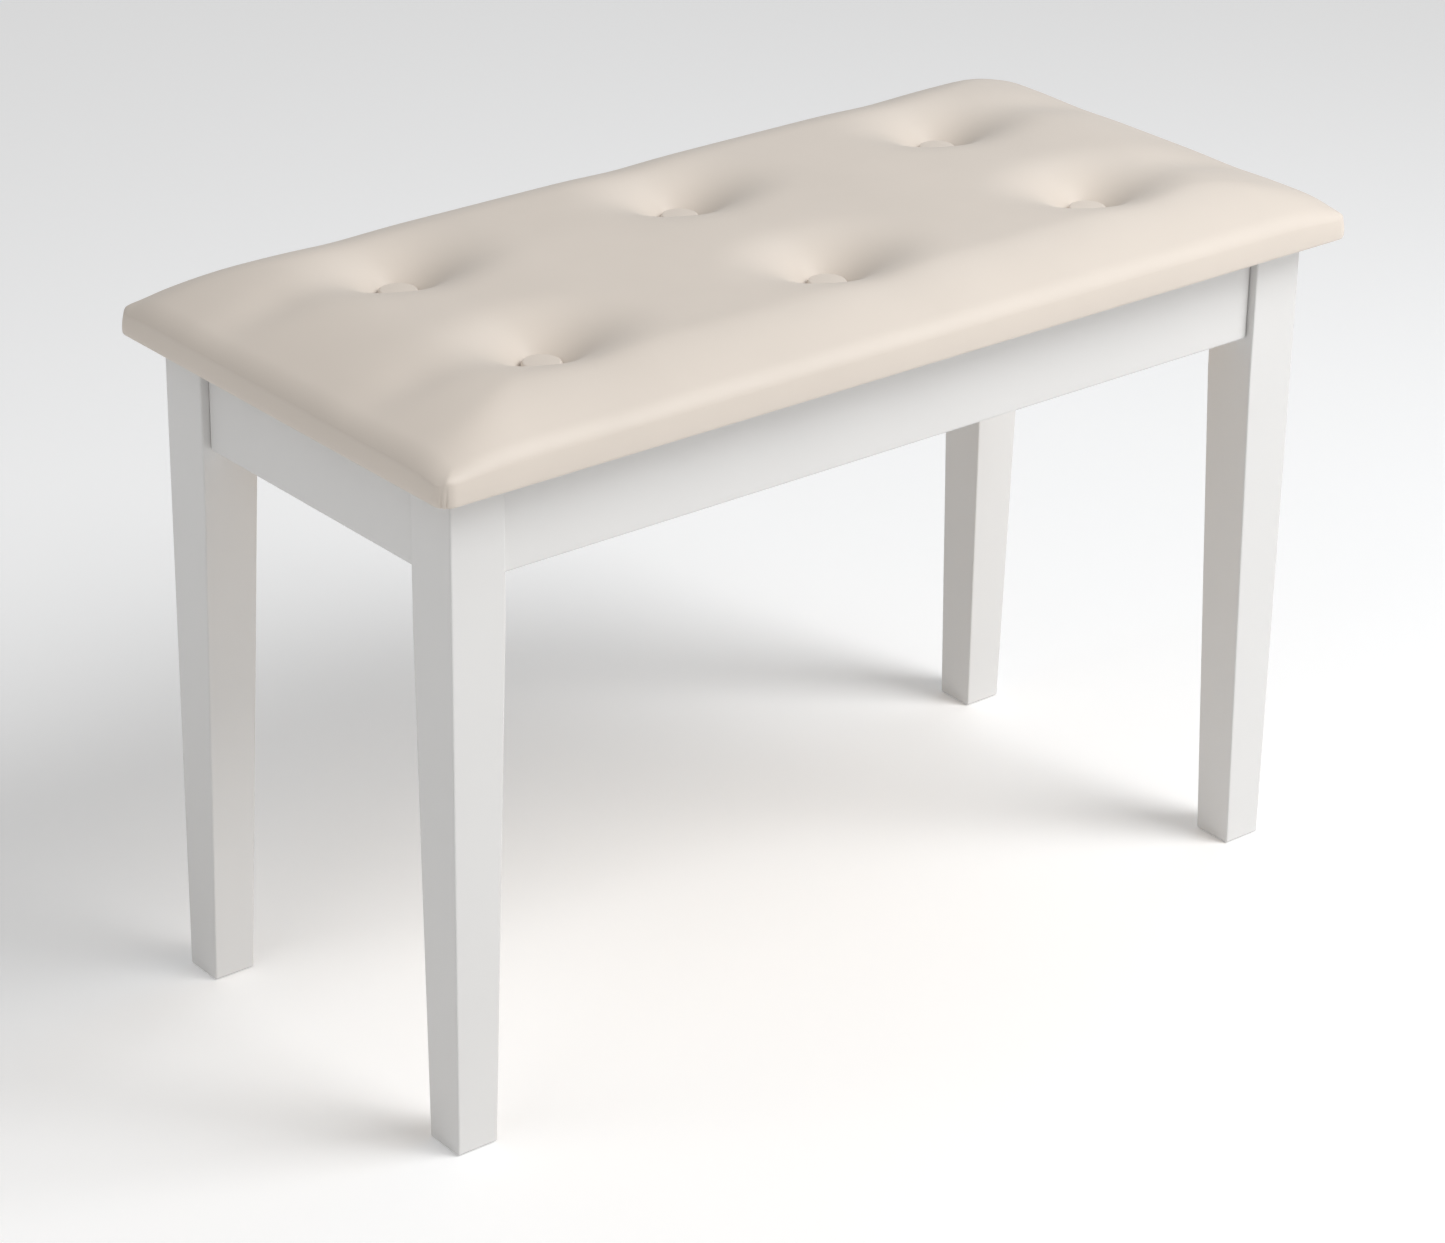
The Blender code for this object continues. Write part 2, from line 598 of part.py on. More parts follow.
def make_lid_lining(pivot, material):
    inset = HEM_WIDTH + LINING_MARGIN
    half_x, half_y = HALF_LENGTH - inset, HALF_DEPTH - inset
    bm = block((-half_x, SEAT_MIDDLE_Y - half_y, LINING_BOTTOM),
               (half_x, SEAT_MIDDLE_Y + half_y, LINING_BOTTOM + LINING_THICKNESS))
    lining = add_object("lid_lining", bm, material, pivot)
    cut(lining, "screw_holes", *lid_screw_holes())


def make_button(name, column, row, pivot, material):
    """A covered button on a nail shank that holds the tuft down."""
    base = TUFT_FLOOR + GAP
    tip = TUFT_FLOOR - BUTTON_SHANK_DEPTH
    rim = base + BUTTON_RIM
    profile = [(0, tip), (BUTTON_SHANK_RADIUS, tip + BUTTON_SHANK_TIP), (BUTTON_SHANK_RADIUS, base),
               (BUTTON_RADIUS - BUTTON_EDGE, base), (BUTTON_RADIUS, rim)]
    for angle in (30, 60):
        turn = math.radians(angle)
        profile.append((BUTTON_RADIUS * math.cos(turn), rim + (BUTTON_HEIGHT - BUTTON_RIM) * math.sin(turn)))
    profile.append((0, base + BUTTON_HEIGHT))
    bm = placed(turned(profile), (column, SEAT_MIDDLE_Y + row, 0), (0, 0, 1))
    add_object(name, bm, material, pivot, smooth=True)


# Hinges ---------------------------------------------------------------------------------
def screw_positions(turn):
    """Where the screw heads' faces lie on both leaves that are turned by an angle about X."""
    along = KNUCKLE_RADIUS + GAP + HINGE_LEAF_WIDTH / 2
    face = KNUCKLE_RADIUS - HINGE_LEAF_THICKNESS
    local = Vector((0, -along, face))
    local.rotate(Matrix.Rotation(turn, 3, "X"))
    return [(hinge, side, (centre + offset * SCREW_OFFSET, HINGE_Y + local.y, HINGE_Z + local.z))
            for hinge, centre in HINGE_CENTRES.items() for side, offset in SIDES_X.items()]


LID_LEAF_TURN = 0.0
BOX_LEAF_TURN = math.radians(90)
LID_SCREW_AXIS = (0, 0, 1)
BOX_SCREW_AXIS = (0, -1, 0)


def screw_holes(turn, direction):
    """Cutters for the screws through one leaf of both hinges, from inside the leaf inward."""
    low, high = HINGE_LEAF_THICKNESS / 3, SCREW_LENGTH + 2 * GAP
    return [placed(rod(SCREW_RADIUS + GAP, low, high, 12), place, direction)
            for _, _, place in screw_positions(turn)]


def lid_screw_holes():
    return screw_holes(LID_LEAF_TURN, LID_SCREW_AXIS)


def box_screw_holes():
    return screw_holes(BOX_LEAF_TURN, BOX_SCREW_AXIS)


def make_screw(name, place, direction, pivot, material):
    """A countersunk screw with its head's face at the origin."""
    profile = [(0, 0), (SCREW_HEAD_RADIUS, 0), (SCREW_RADIUS, SCREW_HEAD_HEIGHT),
               (SCREW_RADIUS, SCREW_LENGTH - SCREW_TIP), (0, SCREW_LENGTH)]
    add_object(name, placed(turned(profile, 12), place, direction), material, pivot, smooth=True)


def make_hinge_leaf(name, hinge, knuckles, turn, direction, pivot, material):
    """A leaf that lies along -Y from the axis before it is turned about X. Its plate's far
    face touches the knuckles' top."""
    centre = HINGE_CENTRES[hinge]
    top, bottom = KNUCKLE_RADIUS, KNUCKLE_RADIUS - HINGE_LEAF_THICKNESS
    start = KNUCKLE_RADIUS + GAP
    overlap = 0.0005
    half = HINGE_LENGTH / 2
    plate = block((centre - half, -start - HINGE_LEAF_WIDTH, bottom), (centre + half, -start, top))
    meet = math.degrees(math.asin(bottom / KNUCKLE_RADIUS))
    curl = [(-start - overlap, top)] + arc((0, 0), KNUCKLE_RADIUS, 90, -180 - meet, 14)
    curl.append((-start - overlap, bottom))
    curls = [prism(curl, "X", centre + low, centre + high) for low, high in knuckles]

    move = Matrix.Translation((0, HINGE_Y, HINGE_Z)) @ Matrix.Rotation(turn, 4, "X")
    for shape in (plate, *curls):
        bmesh.ops.transform(shape, matrix=move, verts=shape.verts)
    leaf = add_object(name, plate, material, pivot)
    join(leaf, "knuckles", *curls)
    bore = rod(HINGE_PIN_RADIUS + GAP, -half - CUT_PAST, half + CUT_PAST, 14)
    cut(leaf, "bore", placed(bore, (centre, HINGE_Y, HINGE_Z), (1, 0, 0)))

    through = HINGE_LEAF_THICKNESS + CUT_PAST
    sink = [(0, -CUT_PAST), (SCREW_HEAD_RADIUS + GAP, -CUT_PAST), (SCREW_HEAD_RADIUS + GAP, GAP),
            (SCREW_RADIUS + GAP, SCREW_HEAD_HEIGHT + GAP), (SCREW_RADIUS + GAP, through), (0, through)]
    sinks = [placed(turned(sink, 12), place, direction)
             for owner, _, place in screw_positions(turn) if owner == hinge]
    cut(leaf, "screw_holes", *sinks)


def make_hinge_pin(name, centre, material):
    half = HINGE_LENGTH / 2
    head, head_end, tip = HINGE_PIN_HEAD_RADIUS, -half - HINGE_PIN_HEAD_HEIGHT, half + HINGE_PIN_TIP
    profile = [(0, head_end), (head, head_end), (head, -half - GAP), (HINGE_PIN_RADIUS, -half - GAP),
               (HINGE_PIN_RADIUS, tip), (0, tip)]
    bm = placed(turned(profile), (centre, HINGE_Y, HINGE_Z), (1, 0, 0))
    add_object(name, bm, material, smooth=True)


def make_hinges(lid_pivot, material):
    half = HINGE_LENGTH / 2
    outer = [(-half, -KNUCKLE_HALF - GAP), (KNUCKLE_HALF + GAP, half)]
    middle = [(-KNUCKLE_HALF, KNUCKLE_HALF)]
    for hinge, centre in HINGE_CENTRES.items():
        make_hinge_leaf(f"hinge_{hinge}_lid_leaf", hinge, middle, LID_LEAF_TURN, LID_SCREW_AXIS,
                        lid_pivot, material)
        make_hinge_leaf(f"hinge_{hinge}_box_leaf", hinge, outer, BOX_LEAF_TURN, BOX_SCREW_AXIS,
                        None, material)
        make_hinge_pin(f"hinge_{hinge}_pin", centre, material)
    for hinge, side, place in screw_positions(LID_LEAF_TURN):
        make_screw(f"hinge_{hinge}_lid_screw_{side}", place, LID_SCREW_AXIS, lid_pivot, material)
    for hinge, side, place in screw_positions(BOX_LEAF_TURN):
        make_screw(f"hinge_{hinge}_box_screw_{side}", place, BOX_SCREW_AXIS, None, material)


# Lid stay -------------------------------------------------------------------------------
def stay_planes():
    """X of each layer's face towards the left apron, from the apron inward."""
    plate = -BOX_INNER_X + GAP
    lower = plate + STAY_PLATE_THICKNESS + GAP
    upper = lower + STAY_THICKNESS + GAP
    ear = upper + STAY_THICKNESS + GAP
    return plate, lower, upper, ear


def stay_points():
    """Y and Z of the box pivot, the elbow and the lid pivot with the lid closed. With the
    hinge axis they are the corners of a parallelogram."""
    lid = (HINGE_Y + STAY_LID_REACH[0], HINGE_Z + STAY_LID_REACH[1])
    elbow = (STAY_BOX_PIVOT[0] + STAY_LID_REACH[0], STAY_BOX_PIVOT[1] + STAY_LID_REACH[1])
    return STAY_BOX_PIVOT, elbow, lid


def arm_outline(start, end):
    """A bar with round ends about two pivots."""
    heading = math.degrees(math.atan2(end[1] - start[1], end[0] - start[0]))
    half = STAY_WIDTH / 2
    return arc(start, half, heading + 90, heading + 270) + arc(end, half, heading - 90, heading + 90)


def headed_pin(low, shoulder, place, direction):
    """A pivot pin from inside its own piece to a riveted head past the next layer."""
    profile = [(0, low), (STAY_PIN_RADIUS, low), (STAY_PIN_RADIUS, shoulder),
               (STAY_HEAD_RADIUS, shoulder), (STAY_HEAD_RADIUS - 0.0006, shoulder + STAY_HEAD_HEIGHT),
               (0, shoulder + STAY_HEAD_HEIGHT)]
    return placed(turned(profile), place, direction)


def pin_hole(x, pivot_point):
    hole = rod(STAY_PIN_RADIUS + GAP, -CUT_PAST, STAY_THICKNESS + CUT_PAST)
    return placed(hole, (x, *pivot_point), (1, 0, 0))


def make_stay_box_plate(material):
    plate_x, _, upper_x, _ = stay_planes()
    y, z = STAY_BOX_PIVOT
    half_y, half_z = STAY_PLATE_HALF
    plate = block((plate_x, y - half_y, z - half_z),
                  (plate_x + STAY_PLATE_THICKNESS, y + half_y, z + half_z))
    obj = add_object("stay_box_plate", plate, material)
    inside = plate_x + STAY_PLATE_THICKNESS / 2
    join(obj, "pin", headed_pin(0, upper_x - inside, (inside, y, z), (1, 0, 0)))


def make_stay_lower_arm(pivot, material):
    _, lower_x, _, ear_x = stay_planes()
    box_point, elbow, _ = stay_points()
    bar = prism(arm_outline(box_point, elbow), "X", lower_x, lower_x + STAY_THICKNESS)
    arm = add_object("stay_lower_arm", bar, material, pivot)
    inside = lower_x + STAY_THICKNESS / 2
    join(arm, "elbow_pin", headed_pin(0, ear_x - inside, (inside, *elbow), (1, 0, 0)))
    cut(arm, "pivot_hole", pin_hole(lower_x, box_point))


def make_stay_upper_arm(pivot, material):
    _, _, upper_x, _ = stay_planes()
    _, elbow, lid_point = stay_points()
    bar = prism(arm_outline(elbow, lid_point), "X", upper_x, upper_x + STAY_THICKNESS)
    arm = add_object("stay_upper_arm", bar, material, pivot)
    cut(arm, "pivot_holes", pin_hole(upper_x, elbow), pin_hole(upper_x, lid_point))


def make_stay_lid_bracket(pivot, material):
    """An angle under the lid: a foot on the lining and an ear that holds the upper arm."""
    _, _, upper_x, ear_x = stay_planes()
    y, z = stay_points()[2]
    half = STAY_EAR_RADIUS
    ear = [(y - half, LEAF_TOP), (y - half, z)] + arc((y, z), half, 180, 360) + [(y + half, LEAF_TOP)]
    ear = list(dict.fromkeys(ear))
    bracket = add_object("stay_lid_bracket", prism(ear, "X", ear_x, ear_x + STAY_THICKNESS),
                         material, pivot)
    reach = half + STAY_FOOT_MARGIN
    foot = block((ear_x + STAY_THICKNESS / 2, y - reach, LEAF_TOP - STAY_PLATE_THICKNESS),
                 (ear_x + STAY_FOOT_WIDTH, y + reach, LEAF_TOP))
    join(bracket, "foot", foot)
    inside = ear_x + STAY_THICKNESS / 2
    join(bracket, "pin", headed_pin(0, inside - upper_x + GAP, (inside, y, z), (-1, 0, 0)))


def make_stay(lid_pivot, material):
    box_point, _, lid_point = stay_points()
    _, lower_x, upper_x, _ = stay_planes()
    make_stay_box_plate(material)
    make_stay_lower_arm(make_pivot("stay_box_pivot", (lower_x, *box_point)), material)
    upper_pivot = make_pivot("stay_lid_pivot", (upper_x, *lid_point))
    upper_pivot.parent = lid_pivot
    upper_pivot.matrix_parent_inverse = Matrix.Translation(lid_pivot.location).inverted()
    make_stay_upper_arm(upper_pivot, material)
    make_stay_lid_bracket(lid_pivot, material)


# Assembly -------------------------------------------------------------------------------
def make_frame(lacquer, plywood, zinc, nylon, clear_rubber):
    for front, side_y in SIDES_Y.items():
        for side, side_x in SIDES_X.items():
            corner = f"{front}_{side}"
            make_leg(f"leg_{corner}", side_x, side_y, lacquer)
            make_glide(f"glide_{corner}", side_x, side_y, nylon)
            make_bumper(f"bumper_{corner}", side_x, side_y, clear_rubber)
            make_corner_bracket(f"corner_bracket_{corner}", side_x, side_y, zinc)
            for level, height in zip(("lower", "upper"), BOLT_HEIGHTS):
                make_leg_bolt(f"leg_bolt_{corner}_{level}", side_x, side_y, height, zinc)
    make_long_apron("apron_front", -1, lacquer)
    back = make_long_apron("apron_back", 1, lacquer)
    cut(back, "hinge_screw_holes", *box_screw_holes())
    for side, side_x in SIDES_X.items():
        make_side_apron(f"apron_{side}", side_x, lacquer)
    make_storage_floor(plywood)


def make_lid(lid_pivot, plywood, foam, vinyl, lining):
    make_lid_board(lid_pivot, plywood)
    make_seat_foam(lid_pivot, foam)
    make_seat_cover(lid_pivot, vinyl)
    make_lid_lining(lid_pivot, lining)
    for place, column in zip(("left", "middle", "right"), BUTTON_COLUMNS):
        for front, row in zip(("front", "back"), BUTTON_ROWS):
            make_button(f"button_{front}_{place}", column, row, lid_pivot, vinyl)


def main():
    clear_scene()
    lacquer = make_material("white_lacquer", (0.80, 0.79, 0.77), 0.35)
    plywood = make_material("plywood", (0.62, 0.47, 0.30), 0.6)
    vinyl = make_material("cream_vinyl", (0.68, 0.61, 0.52), 0.45)
    foam = make_material("seat_foam", (0.80, 0.74, 0.55), 0.9)
    lining = make_material("lid_lining", (0.05, 0.05, 0.05), 0.9)
    zinc = make_material("zinc_steel", (0.55, 0.55, 0.56), 0.35, 1.0)
    nylon = make_material("glide_nylon", (0.75, 0.74, 0.72), 0.5)
    clear_rubber = make_material("clear_rubber", (0.75, 0.76, 0.76), 0.3)
    lid_pivot = make_pivot("lid_pivot", (0, HINGE_Y, HINGE_Z))
    make_frame(lacquer, plywood, zinc, nylon, clear_rubber)
    make_lid(lid_pivot, plywood, foam, vinyl, lining)
    make_hinges(lid_pivot, zinc)
    make_stay(lid_pivot, zinc)


main()
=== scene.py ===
"""Looks for the piano bench: a tufted cream vinyl cushion, white satin lacquer and small fixings.

Metres, +Z up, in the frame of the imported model: +X runs along the bench and the player's side is
-Y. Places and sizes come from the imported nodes' boxes; shapes are worked out from the named values.
"""
import math
import random

import bpy
import numpy as np
from mathutils import Matrix, Vector


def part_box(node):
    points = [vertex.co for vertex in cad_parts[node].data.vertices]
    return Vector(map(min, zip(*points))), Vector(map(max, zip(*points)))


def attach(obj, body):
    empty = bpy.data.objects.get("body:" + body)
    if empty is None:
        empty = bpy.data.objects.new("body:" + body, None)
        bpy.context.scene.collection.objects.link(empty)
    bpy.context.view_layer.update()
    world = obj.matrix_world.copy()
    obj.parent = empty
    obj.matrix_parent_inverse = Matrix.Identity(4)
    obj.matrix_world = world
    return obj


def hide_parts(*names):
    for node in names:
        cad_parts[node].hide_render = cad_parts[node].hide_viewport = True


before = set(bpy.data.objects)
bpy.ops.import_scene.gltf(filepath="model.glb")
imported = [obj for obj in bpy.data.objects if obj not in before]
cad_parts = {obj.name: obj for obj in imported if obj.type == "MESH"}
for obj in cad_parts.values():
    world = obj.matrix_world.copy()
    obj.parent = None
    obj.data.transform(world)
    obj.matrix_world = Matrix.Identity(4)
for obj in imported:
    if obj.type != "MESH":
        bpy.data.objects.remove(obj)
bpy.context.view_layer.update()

# Camera ---------------------------------------------------------------------------------
VIEW_AZIMUTH = -39.41           # degrees; 0 looks along +Y
VIEW_ELEVATION = 25.48
VIEW_ROLL = 0.88
VIEW_DISTANCE = 2.936
VIEW_LENS = 109.2               # millimetres on a 36 mm sensor
VIEW_AIM_HEIGHT = 0.230
VIEW_SLIDE = (-0.0157, -0.0180)  # sideways and up, from the aim point

# Stage ----------------------------------------------------------------------------------
FLOOR_HALF = 20.0
WORLD_STRENGTH = 0.33
SUN_DIRECTION = (0.36, -0.62, 0.70)
SUN_STRENGTH = 0.92
SUN_ANGLE = 30                  # degrees; a wide sun gives soft shadows
# Name, place, aim, side, power and colour of each soft box.
SOFT_BOXES = (
    ("key_near", (0.85, -1.05, 1.75), (0.0, 0.0, 0.45), 1.0, 16.0, (1.0, 1.0, 1.0)),
    ("right_top", (0.95, 0.35, 1.55), (0.25, -0.10, 0.48), 0.7, 1.8, (0.72, 0.86, 1.0)),
    ("left_fill", (-1.25, -0.10, 1.45), (-0.2, 0.0, 0.45), 1.1, 4.4, (1.0, 1.0, 1.0)),
    ("right_fill", (1.5, -1.3, 0.95), (0.0, 0.0, 0.45), 0.9, 5.0, (1.0, 1.0, 1.0)),
)

# Colours, linear ------------------------------------------------------------------------
VINYL_COLOUR = (0.672, 0.602, 0.532)
LACQUER_COLOUR = (0.720, 0.712, 0.700)
PLYWOOD_LIGHT = (0.64, 0.47, 0.29)
PLYWOOD_DARK = (0.50, 0.34, 0.19)
ZINC_COLOUR = (0.58, 0.585, 0.59)
CLOTH_COLOUR = (0.016, 0.016, 0.017)
NYLON_COLOUR = (0.74, 0.73, 0.70)
RUBBER_COLOUR = (0.80, 0.81, 0.81)
PAPER_COLOUR = (0.93, 0.93, 0.93)
PAPER_GLOW = 0.12               # lifts the floor's shadows
ALONG_GRAIN = 0.03              # squeezes a texture along the grain of a lacquered piece

# Cushion --------------------------------------------------------------------------------
SEAT_LOW, SEAT_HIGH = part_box("seat_cover")
UNDERSIDE = SEAT_LOW.z
MIDDLE = ((SEAT_LOW.x + SEAT_HIGH.x) / 2, (SEAT_LOW.y + SEAT_HIGH.y) / 2)
HALF_LENGTH = (SEAT_HIGH.x - SEAT_LOW.x) / 2
HALF_DEPTH = (SEAT_HIGH.y - SEAT_LOW.y) / 2
CORNER_RADIUS = 0.011           # in plan, at the crown
HEM_CORNER_RADIUS = 0.010       # the corners are a little squarer at the hem
EDGE_RISE = 0.0213              # height where the crown starts
CROWN = 0.0222                  # height of the crown above that
CROWN_REACH_X = 0.095           # how far in from the ends the crown keeps rising
CROWN_REACH_Y = 0.057
RIDGE_POWER = 2.6               # higher makes the crown's ridges to the corners sharper
CORNER_DROOP = 0.10             # how far the corners may fall below the side, of the crown
DROOP_BLEND = 0.06              # how softly the droop is limited
ROLL_DROP = 0.0068              # how far the edge rolls over into the near-vertical side
ROLL_WIDTH = 0.0095
ROLL_END = 0.98                 # 1 would end the roll vertical
END_ROLL_DROP = 0.0102          # the same three at the bench's ends, where the roll is broader
END_ROLL_WIDTH = 0.0150
END_ROLL_END = 0.88
SIDE_LEAN = 0.0011              # how far the side leans in, still clear of the lid board
EDGE_BAND = 0.030               # strip along the outline that takes up the lean
BUTTON_NODES = sorted(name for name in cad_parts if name.startswith("button_"))
BUTTON_RADIUS = 0.0126
BUTTON_HEIGHT = 0.0048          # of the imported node
BUTTON_PROUD = 0.0016           # what the stuffed cover adds to it
BUTTON_DOME = 0.0007
BUTTON_RIM = 0.0019             # radius of the rounded rim
RIM_STEPS = 8
BUTTON_FOOT = ((1.0, 0.0014), (0.97, 0.0004), (0.9, 0.0), (0.0, 0.0))  # share of radius, height
BUTTON_SEGMENTS = 96
BUTTON_GATHERS = 24
GATHER_DEPTH = 0.00012
TUFT_REACH_X = 0.080            # how far a tuft pulls the vinyl down along the bench
TUFT_REACH_Y = 0.054
TUFT_POWER = 2.7                # 1 would make the tuft a straight cone
TUFT_THROAT = 0.0130            # radius of the flat spot under a button
ROW_VALLEY = 0.0042             # shallow valley from each outer button to the seat's end
ROW_VALLEY_WIDTH = 0.024
ROW_VALLEY_START = 0.245        # from the middle of the seat
ROW_VALLEY_FULL = 0.330
COLUMN_VALLEY = 0.0015          # a fainter one across the seat at each pair of buttons
COLUMN_VALLEY_WIDTH = 0.030
VALLEY_FADE = 1.2               # the valleys fade out where the crown is lower than 1 / this

# Mesh lines over the edge roll, as distances from the seat's edge.
ROLL_LINES = (0.00008, 0.0003, 0.0007, 0.0012, 0.0018, 0.0025, 0.0033, 0.0042, 0.0053, 0.0066,
              0.0081, 0.0097)
FINE_STEP = 0.0016              # mesh spacing within these zones of a tuft's middle or an edge
COARSE_STEP = 0.0040            # and elsewhere
TUFT_ZONE = 0.026
EDGE_ZONE = 0.018
# The side under the crown: inset from the seat's outline, and share of the side's height.
SIDE_PROFILE = ((0.0007, 0.84), (0.0003, 0.66), (0.0001, 0.48), (0.0, 0.30), (0.0001, 0.16),
                (0.0003, 0.08), (0.0007, 0.03), (0.0014, 0.0))
PLEAT_OFFSET = 0.0016           # each corner has a pleat: two creases beside its edge
PLEAT_WIDTH = 0.0005
PLEAT_DEPTH = 0.0010
HEM_START = 0.006               # where the turned-under hem lies flat, in from the outline
HEM_WIDTH = 0.022
HEM_THICKNESS = 0.001

# Small fixings --------------------------------------------------------------------------
SCREW_HEAD_RADIUS = 0.0034
SCREW_HEAD_HEIGHT = 0.0018
SCREW_DISH = 0.75               # higher makes a rounder head
RECESS_LEVEL = 0.45             # floor of the cross recess, of the head's height
RECESS_HALF_WIDTH = 0.16        # of the head's radius
RECESS_REACH = 0.6
SCREW_LEVELS = (0.25, 0.75)     # up a bracket's flange
SCREW_INSET = 0.009             # from a flange's free edge
SCREW_SPIN = 40                 # radians per metre of height, so that the recesses differ
SCREW_SEGMENTS = 32
SCREW_RINGS = 7
BRACKET_THICKNESS = 0.002
STAPLE_HALF = 0.005
STAPLE_WIRE = 0.00045           # radius of the wire, which is flattened sideways
STAPLE_FLATNESS = 1.4
STAPLE_RISE = 0.0003            # how proud of the hem the crown lies
STAPLE_SHOULDER = 0.3           # the same where it bends down, as a share
STAPLE_BEND = 0.0006            # width of the bend
STAPLE_DEPTH = 0.0008           # how far the ends go into the hem
STAPLE_INSET = 0.014            # of the row of staples from the seat's outline
STAPLE_SPACING = 0.034
STAPLE_END = 0.02               # from the row's corner to its first staple
STAPLE_SLIP = 0.004             # largest random shift along the row
STAPLE_STRAY = 0.0015           # and across it
STAPLE_TILT = 0.12              # radians

# Dust cloth -----------------------------------------------------------------------------
CLOTH_FOLD = 0.009              # width of its turned edge
CLOTH_MARGIN = 0.03             # from its edge to the even part of the mesh
CLOTH_CELLS = (40, 20)          # mesh lines along and across the even part
CLOTH_FOLD_THICKNESS = 0.0003   # what the fold adds


# Mesh helpers ---------------------------------------------------------------------------
def add_mesh(name, points, faces, material, body, smooth_angle=50):
    """A smooth-shaded piece that rides on a body, with edges above the angle kept sharp."""
    mesh = bpy.data.meshes.new(name)
    mesh.from_pydata([tuple(point) for point in points], [], faces)
    mesh.validate()
    mesh.shade_smooth()
    mesh.set_sharp_from_angle(angle=math.radians(smooth_angle))
    mesh.materials.append(material)
    piece = bpy.data.objects.new(name, mesh)
    bpy.context.scene.collection.objects.link(piece)
    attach(piece, body)
    return piece


def ring_faces(upper, lower):
    """Quads between two closed rings of vertex numbers."""
    count = len(upper)
    return [(upper[i], lower[i], lower[(i + 1) % count], upper[(i + 1) % count])
            for i in range(count)]


def grid_faces(numbers):
    """Upward quads of a grid, from the 2-D array of its vertex numbers."""
    corners = (numbers[:-1, :-1], numbers[:-1, 1:], numbers[1:, 1:], numbers[1:, :-1])
    quads = np.stack(corners, axis=-1).reshape(-1, 4)
    return [tuple(int(index) for index in quad) for quad in quads]


def outer_ring(grid):
    """The border of a 2-D array, counter-clockwise from above."""
    return np.concatenate([grid[0], grid[1:, -1], grid[-1, -2::-1], grid[-2:0:-1, 0]])


def turned(profile, segments, ripple=0.0, folds=0):
    """Points and faces of a solid turned about Z from (radius, height) pairs, axis to axis. A
    ripple gathers the outline into small folds, most at the rim."""
    points, faces, rings = [], [], []
    rim = max(radius for radius, _ in profile)
    for radius, height in profile:
        count = segments if radius else 1
        ring = list(range(len(points), len(points) + count))
        for step in range(count):
            angle = math.tau * step / segments
            wave = ripple * math.cos(folds * angle) * (radius / rim) ** 6
            reach = radius + wave
            points.append((reach * math.cos(angle), reach * math.sin(angle), height))
        rings.append(ring)
    for upper, lower in zip(rings, rings[1:]):
        if len(upper) == 1:
            faces += [(upper[0], lower[i], lower[(i + 1) % segments]) for i in range(segments)]
        elif len(lower) == 1:
            faces += [(upper[i], lower[0], upper[(i + 1) % segments]) for i in range(segments)]
        else:
            faces += ring_faces(upper, lower)
    return points, faces


def moved(points, place, direction=(0, 0, 1), spin=0.0):
    """Points turned so that their +Z follows a direction, then put in place."""
    turn = Vector((0, 0, 1)).rotation_difference(Vector(direction)).to_matrix().to_4x4()
    matrix = Matrix.Translation(place) @ turn @ Matrix.Rotation(spin, 4, "Z")
    return [matrix @ Vector(point) for point in points]


def gathered(shapes):
    """Several (points, faces) shapes as one."""
    points, faces = [], []
    for shape_points, shape_faces in shapes:
        start = len(points)
        points += shape_points
        faces += [tuple(index + start for index in face) for face in shape_faces]
    return points, faces


# Materials ------------------------------------------------------------------------------
def new_material(name, colour, roughness, **sockets):
    """A material, its node tree and its shader with the given sockets' values set."""
    material = bpy.data.materials.new(name)
    material.use_nodes = True
    tree = material.node_tree
    shader = tree.nodes["Principled BSDF"]
    shader.inputs["Base Color"].default_value = (*colour, 1.0)
    shader.inputs["Roughness"].default_value = roughness
    for socket, value in sockets.items():
        shader.inputs[socket.replace("_", " ")].default_value = value
    return material, tree, shader


def add_node(tree, kind, settings=(), **inputs):
    """A node with its settings and its inputs, which are values or other nodes' outputs."""
    node = tree.nodes.new(kind)
    for key, value in dict(settings).items():
        setattr(node, key, value)
    for key, value in inputs.items():
        socket = node.inputs[key.replace("_", " ")]
        if isinstance(value, bpy.types.NodeSocket):
            tree.links.new(value, socket)
        else:
            socket.default_value = value
    return node


def object_space(tree, stretch=(1, 1, 1)):
    """The object's own coordinates, scaled by axis."""
    coordinates = add_node(tree, "ShaderNodeTexCoord")
    mapping = add_node(tree, "ShaderNodeMapping",
                       Vector=coordinates.outputs["Object"], Scale=stretch)
    return mapping.outputs["Vector"]


def noise(tree, space, scale, detail=2.0, roughness=0.5):
    """Noise from 0 to 1."""
    node = add_node(tree, "ShaderNodeTexNoise", Vector=space, Scale=scale, Detail=detail,
                    Roughness=roughness)
    return node.outputs["Fac"]


def ramp(tree, factor, *stops):
    """A colour ramp through (position, linear colour) stops."""
    node = add_node(tree, "ShaderNodeValToRGB", Fac=factor)
    elements = node.color_ramp.elements
    while len(elements) < len(stops):
        elements.new(0.5)
    for element, (position, colour) in zip(elements, stops):
        element.position = position
        element.color = (*colour, 1.0)
    return node.outputs["Color"]


def spread(tree, value, low, high):
    """Maps a value of 0 to 1 to low to high."""
    node = add_node(tree, "ShaderNodeMapRange", Value=value)
    node.inputs["To Min"].default_value = low
    node.inputs["To Max"].default_value = high
    return node.outputs["Result"]


def bump(tree, height, distance, strength=1.0, normal=None):
    """A normal bent by a height, on top of another normal if one is given."""
    node = add_node(tree, "ShaderNodeBump", Height=height, Distance=distance, Strength=strength)
    if normal:
        tree.links.new(normal, node.inputs["Normal"])
    return node.outputs["Normal"]


def scaled(colour, factor):
    """A colour made darker or lighter."""
    return tuple(channel * factor for channel in colour)


